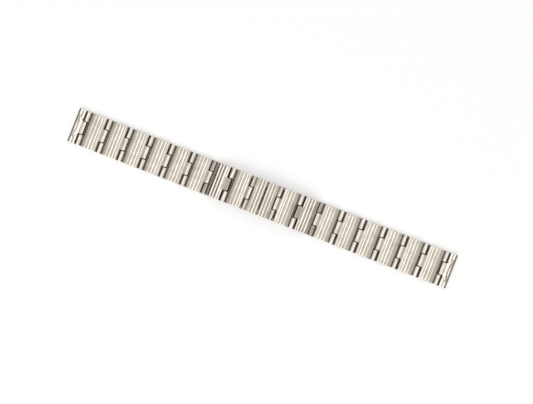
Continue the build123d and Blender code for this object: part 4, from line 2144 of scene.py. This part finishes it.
@dataclass
class Band:
    """The links and link pins of both halves.

    Args:
        knuckles: Sizes of the hinges between links.
        top: Sizes of a full link's top.
        centre_top: Sizes of a centre link's top.
        filing_and_shade: How strongly most tongues get file work and painted shade.
        other_filing_and_shade: How strongly the others get them, by the number of the link.
        pin_chamfer: Chamfer of a link pin's ends.
    """

    knuckles: Knuckles = field(default_factory=Knuckles)
    top: FlutedTop = field(default_factory=FlutedTop)
    centre_top: FlutedTop = field(default_factory=FlutedTop.of_centre)
    filing_and_shade: float = 1.0
    # The photo shows the tongue of link 7, where the band starts to rise, paler, and that of link 8 darker.
    # The shares also set each tongue's painted shade: less on link 7, whose tilt already darkens its slope.
    other_filing_and_shade: dict[int, float] = field(default_factory=lambda: {7: 0.35, 8: 1.25})
    pin_chamfer: float = 0.05

    @cached_property
    def links(self) -> dict[float, Mesh]:
        """Meshes of full links by how strongly their tongues get file work and painted shade."""
        shares = (self.filing_and_shade, *self.other_filing_and_shade.values())
        return {share: FullLink(self.knuckles, self.top, filed_and_shaded=share).mesh() for share in shares}

    @cached_property
    def centre(self) -> Mesh:
        """Mesh of a centre link."""
        return CentreLink(self.knuckles, self.centre_top).mesh()

    @cached_property
    def end(self) -> Mesh:
        """Mesh of an end link."""
        return EndLink(self.knuckles).mesh()

    @cached_property
    def pin(self) -> Mesh:
        """Mesh of a link pin."""
        return PlainPin(self.knuckles.pin_radius, self.knuckles.pin_half, self.pin_chamfer).mesh("pin")

    def fit(self, shop: Workshop, side: Side) -> None:
        """Put the links and pins of one half in place.

        Args:
            shop: Where pieces are fitted.
            side: Half of the bracelet.
        """
        word, hinges = side.word, shop.hinges
        last = sum(name.startswith("link_") for name in hinges) + 1
        for number in range(1, last):
            place, body = hinges[f"link_{number}"].matrix(side), f"{word}_link_{number}"
            link = self.links[self.other_filing_and_shade.get(number, self.filing_and_shade)]
            shop.fit(f"{word}_fluted_link_{number}", link, place, Slot.LINKS, body, body)
            node = f"{word}_link_pin_{number}"
            shop.fit(f"{word}_turned_pin_{number}", self.pin, place, Slot.PINS, body, node)
        place, body = hinges["centre_link"].matrix(side), f"{word}_centre"
        shop.fit(f"{word}_fluted_centre_link", self.centre, place, Slot.LINKS, body, f"{word}_centre_link")
        shop.fit(f"{word}_turned_pin_{last}", self.pin, place, Slot.PINS, body, f"{word}_link_pin_{last}")
        place, body = hinges["end_link"].matrix(side), f"{word}_end"
        shop.fit(f"{word}_fluted_end_link", self.end, place, Slot.LINKS, body, f"{word}_end_link")


@dataclass
class Clasp:
    """The double folding clasp: a base, two arms with catch clips, and their pins.

    Args:
        hinge: Hinge of the left arm.
        nose_pin: Mesh of a nose pin, which is a link pin.
        catch_place: Place of the right catch pin: X and height.
        arm_pin: Sizes of an arm hinge pin.
        catch_pin: Sizes of a catch pin.
    """

    hinge: Hinge
    nose_pin: Mesh
    catch_place: Point = (2.6, 2.365)
    arm_pin: PlainPin = PlainPin(0.5, 5.9, 0.06)
    catch_pin: PlainPin = PlainPin(0.35, 3.05, 0.04)

    @cached_property
    def arm(self) -> Mesh:
        """Mesh of an arm."""
        return ClaspArm().mesh()

    @cached_property
    def clip(self) -> Mesh:
        """Mesh of a catch clip, its jaw where the arm's frame has the catch pin."""
        x, z = -self.catch_place[0] - self.hinge.x, self.catch_place[1] - self.hinge.z
        cosine, sine = math.cos(self.hinge.tilt), math.sin(self.hinge.tilt)
        return CatchClip(x * cosine + z * sine, z * cosine - x * sine).mesh()

    @cached_property
    def pins(self) -> tuple[Mesh, Mesh]:
        """Meshes of an arm hinge pin and a catch pin."""
        return self.arm_pin.mesh("arm_pin"), self.catch_pin.mesh("catch_pin")

    def fit_base(self, shop: Workshop) -> None:
        """Put the base in place."""
        base = ClaspBase((self.hinge.x, self.hinge.z), self.catch_place).mesh()
        shop.fit("bowed_clasp_base", base, Matrix.Identity(4), Slot.CLASP, "clasp_base", "clasp_base")

    def fit(self, shop: Workshop, side: Side) -> None:
        """Put one arm, its clip and the pins of that side in place.

        Args:
            shop: Where pieces are fitted.
            side: Half of the bracelet.
        """
        word, body = side.word, f"{side.word}_arm"
        arm_pin, catch_pin = self.pins
        place = self.hinge.matrix(side)
        shop.fit(f"{word}_pressed_clasp_arm", self.arm, place, Slot.CLASP, body, f"{word}_clasp_arm")
        shop.fit(f"{word}_sprung_catch_clip", self.clip, place, Slot.CLASP, body, f"{word}_catch_clip")
        shop.fit(f"{word}_turned_arm_hinge_pin", arm_pin, place, Slot.PINS, body, f"{word}_arm_hinge_pin")
        place = shop.hinges["nose"].matrix(side)
        shop.fit(f"{word}_turned_nose_pin", self.nose_pin, place, Slot.PINS, body, f"{word}_nose_pin")
        x, z = self.catch_place
        place = side.turn @ Matrix.Translation((-x * MM, 0.0, z * MM))
        shop.fit(f"{word}_turned_catch_pin", catch_pin, place, Slot.PINS, "clasp_base", f"{word}_catch_pin")


def steels() -> dict[Slot, Material]:
    """Materials of the three slots.

    Returns:
        Materials by slot.
    """
    # Belt brushed across: a soft warm shine that spreads along the band and breaks into fine cross streaks.
    satin = BrushedSteel(
        "satin stainless steel, belt brushed across the band", "#F5EEE3", "#CBC0B2", 0.2, Grain.ACROSS)
    # Turned: fine rings round the pin, which keep its glint narrow and even.
    turned = BrushedSteel("stainless steel pin, turned", "#D6D2CA", "#C2BDB4", 0.3, Grain.ALONG)
    # Stamped from sheet and brushed lengthwise: flatter, greyer and duller than the links.
    stamped = BrushedSteel(
        "stamped stainless steel, brushed lengthwise", "#DEDAD2", "#C8C3BA", 0.32, Grain.ALONG)
    return {Slot.LINKS: satin.material(), Slot.PINS: turned.material(), Slot.CLASP: stamped.material()}


def main() -> None:
    """Build the bracelet, the studio and the camera."""
    logging.basicConfig(level=logging.INFO, format="%(message)s")
    hinges = read_hinges()
    shop = Workshop(hinges, steels())
    band = Band()
    clasp = Clasp(hinges["arm"], band.pin)
    clasp.fit_base(shop)
    for side in Side:
        band.fit(shop, side)
        clasp.fit(shop, side)
    Studio().build()


if __name__ == "__main__":
    main()
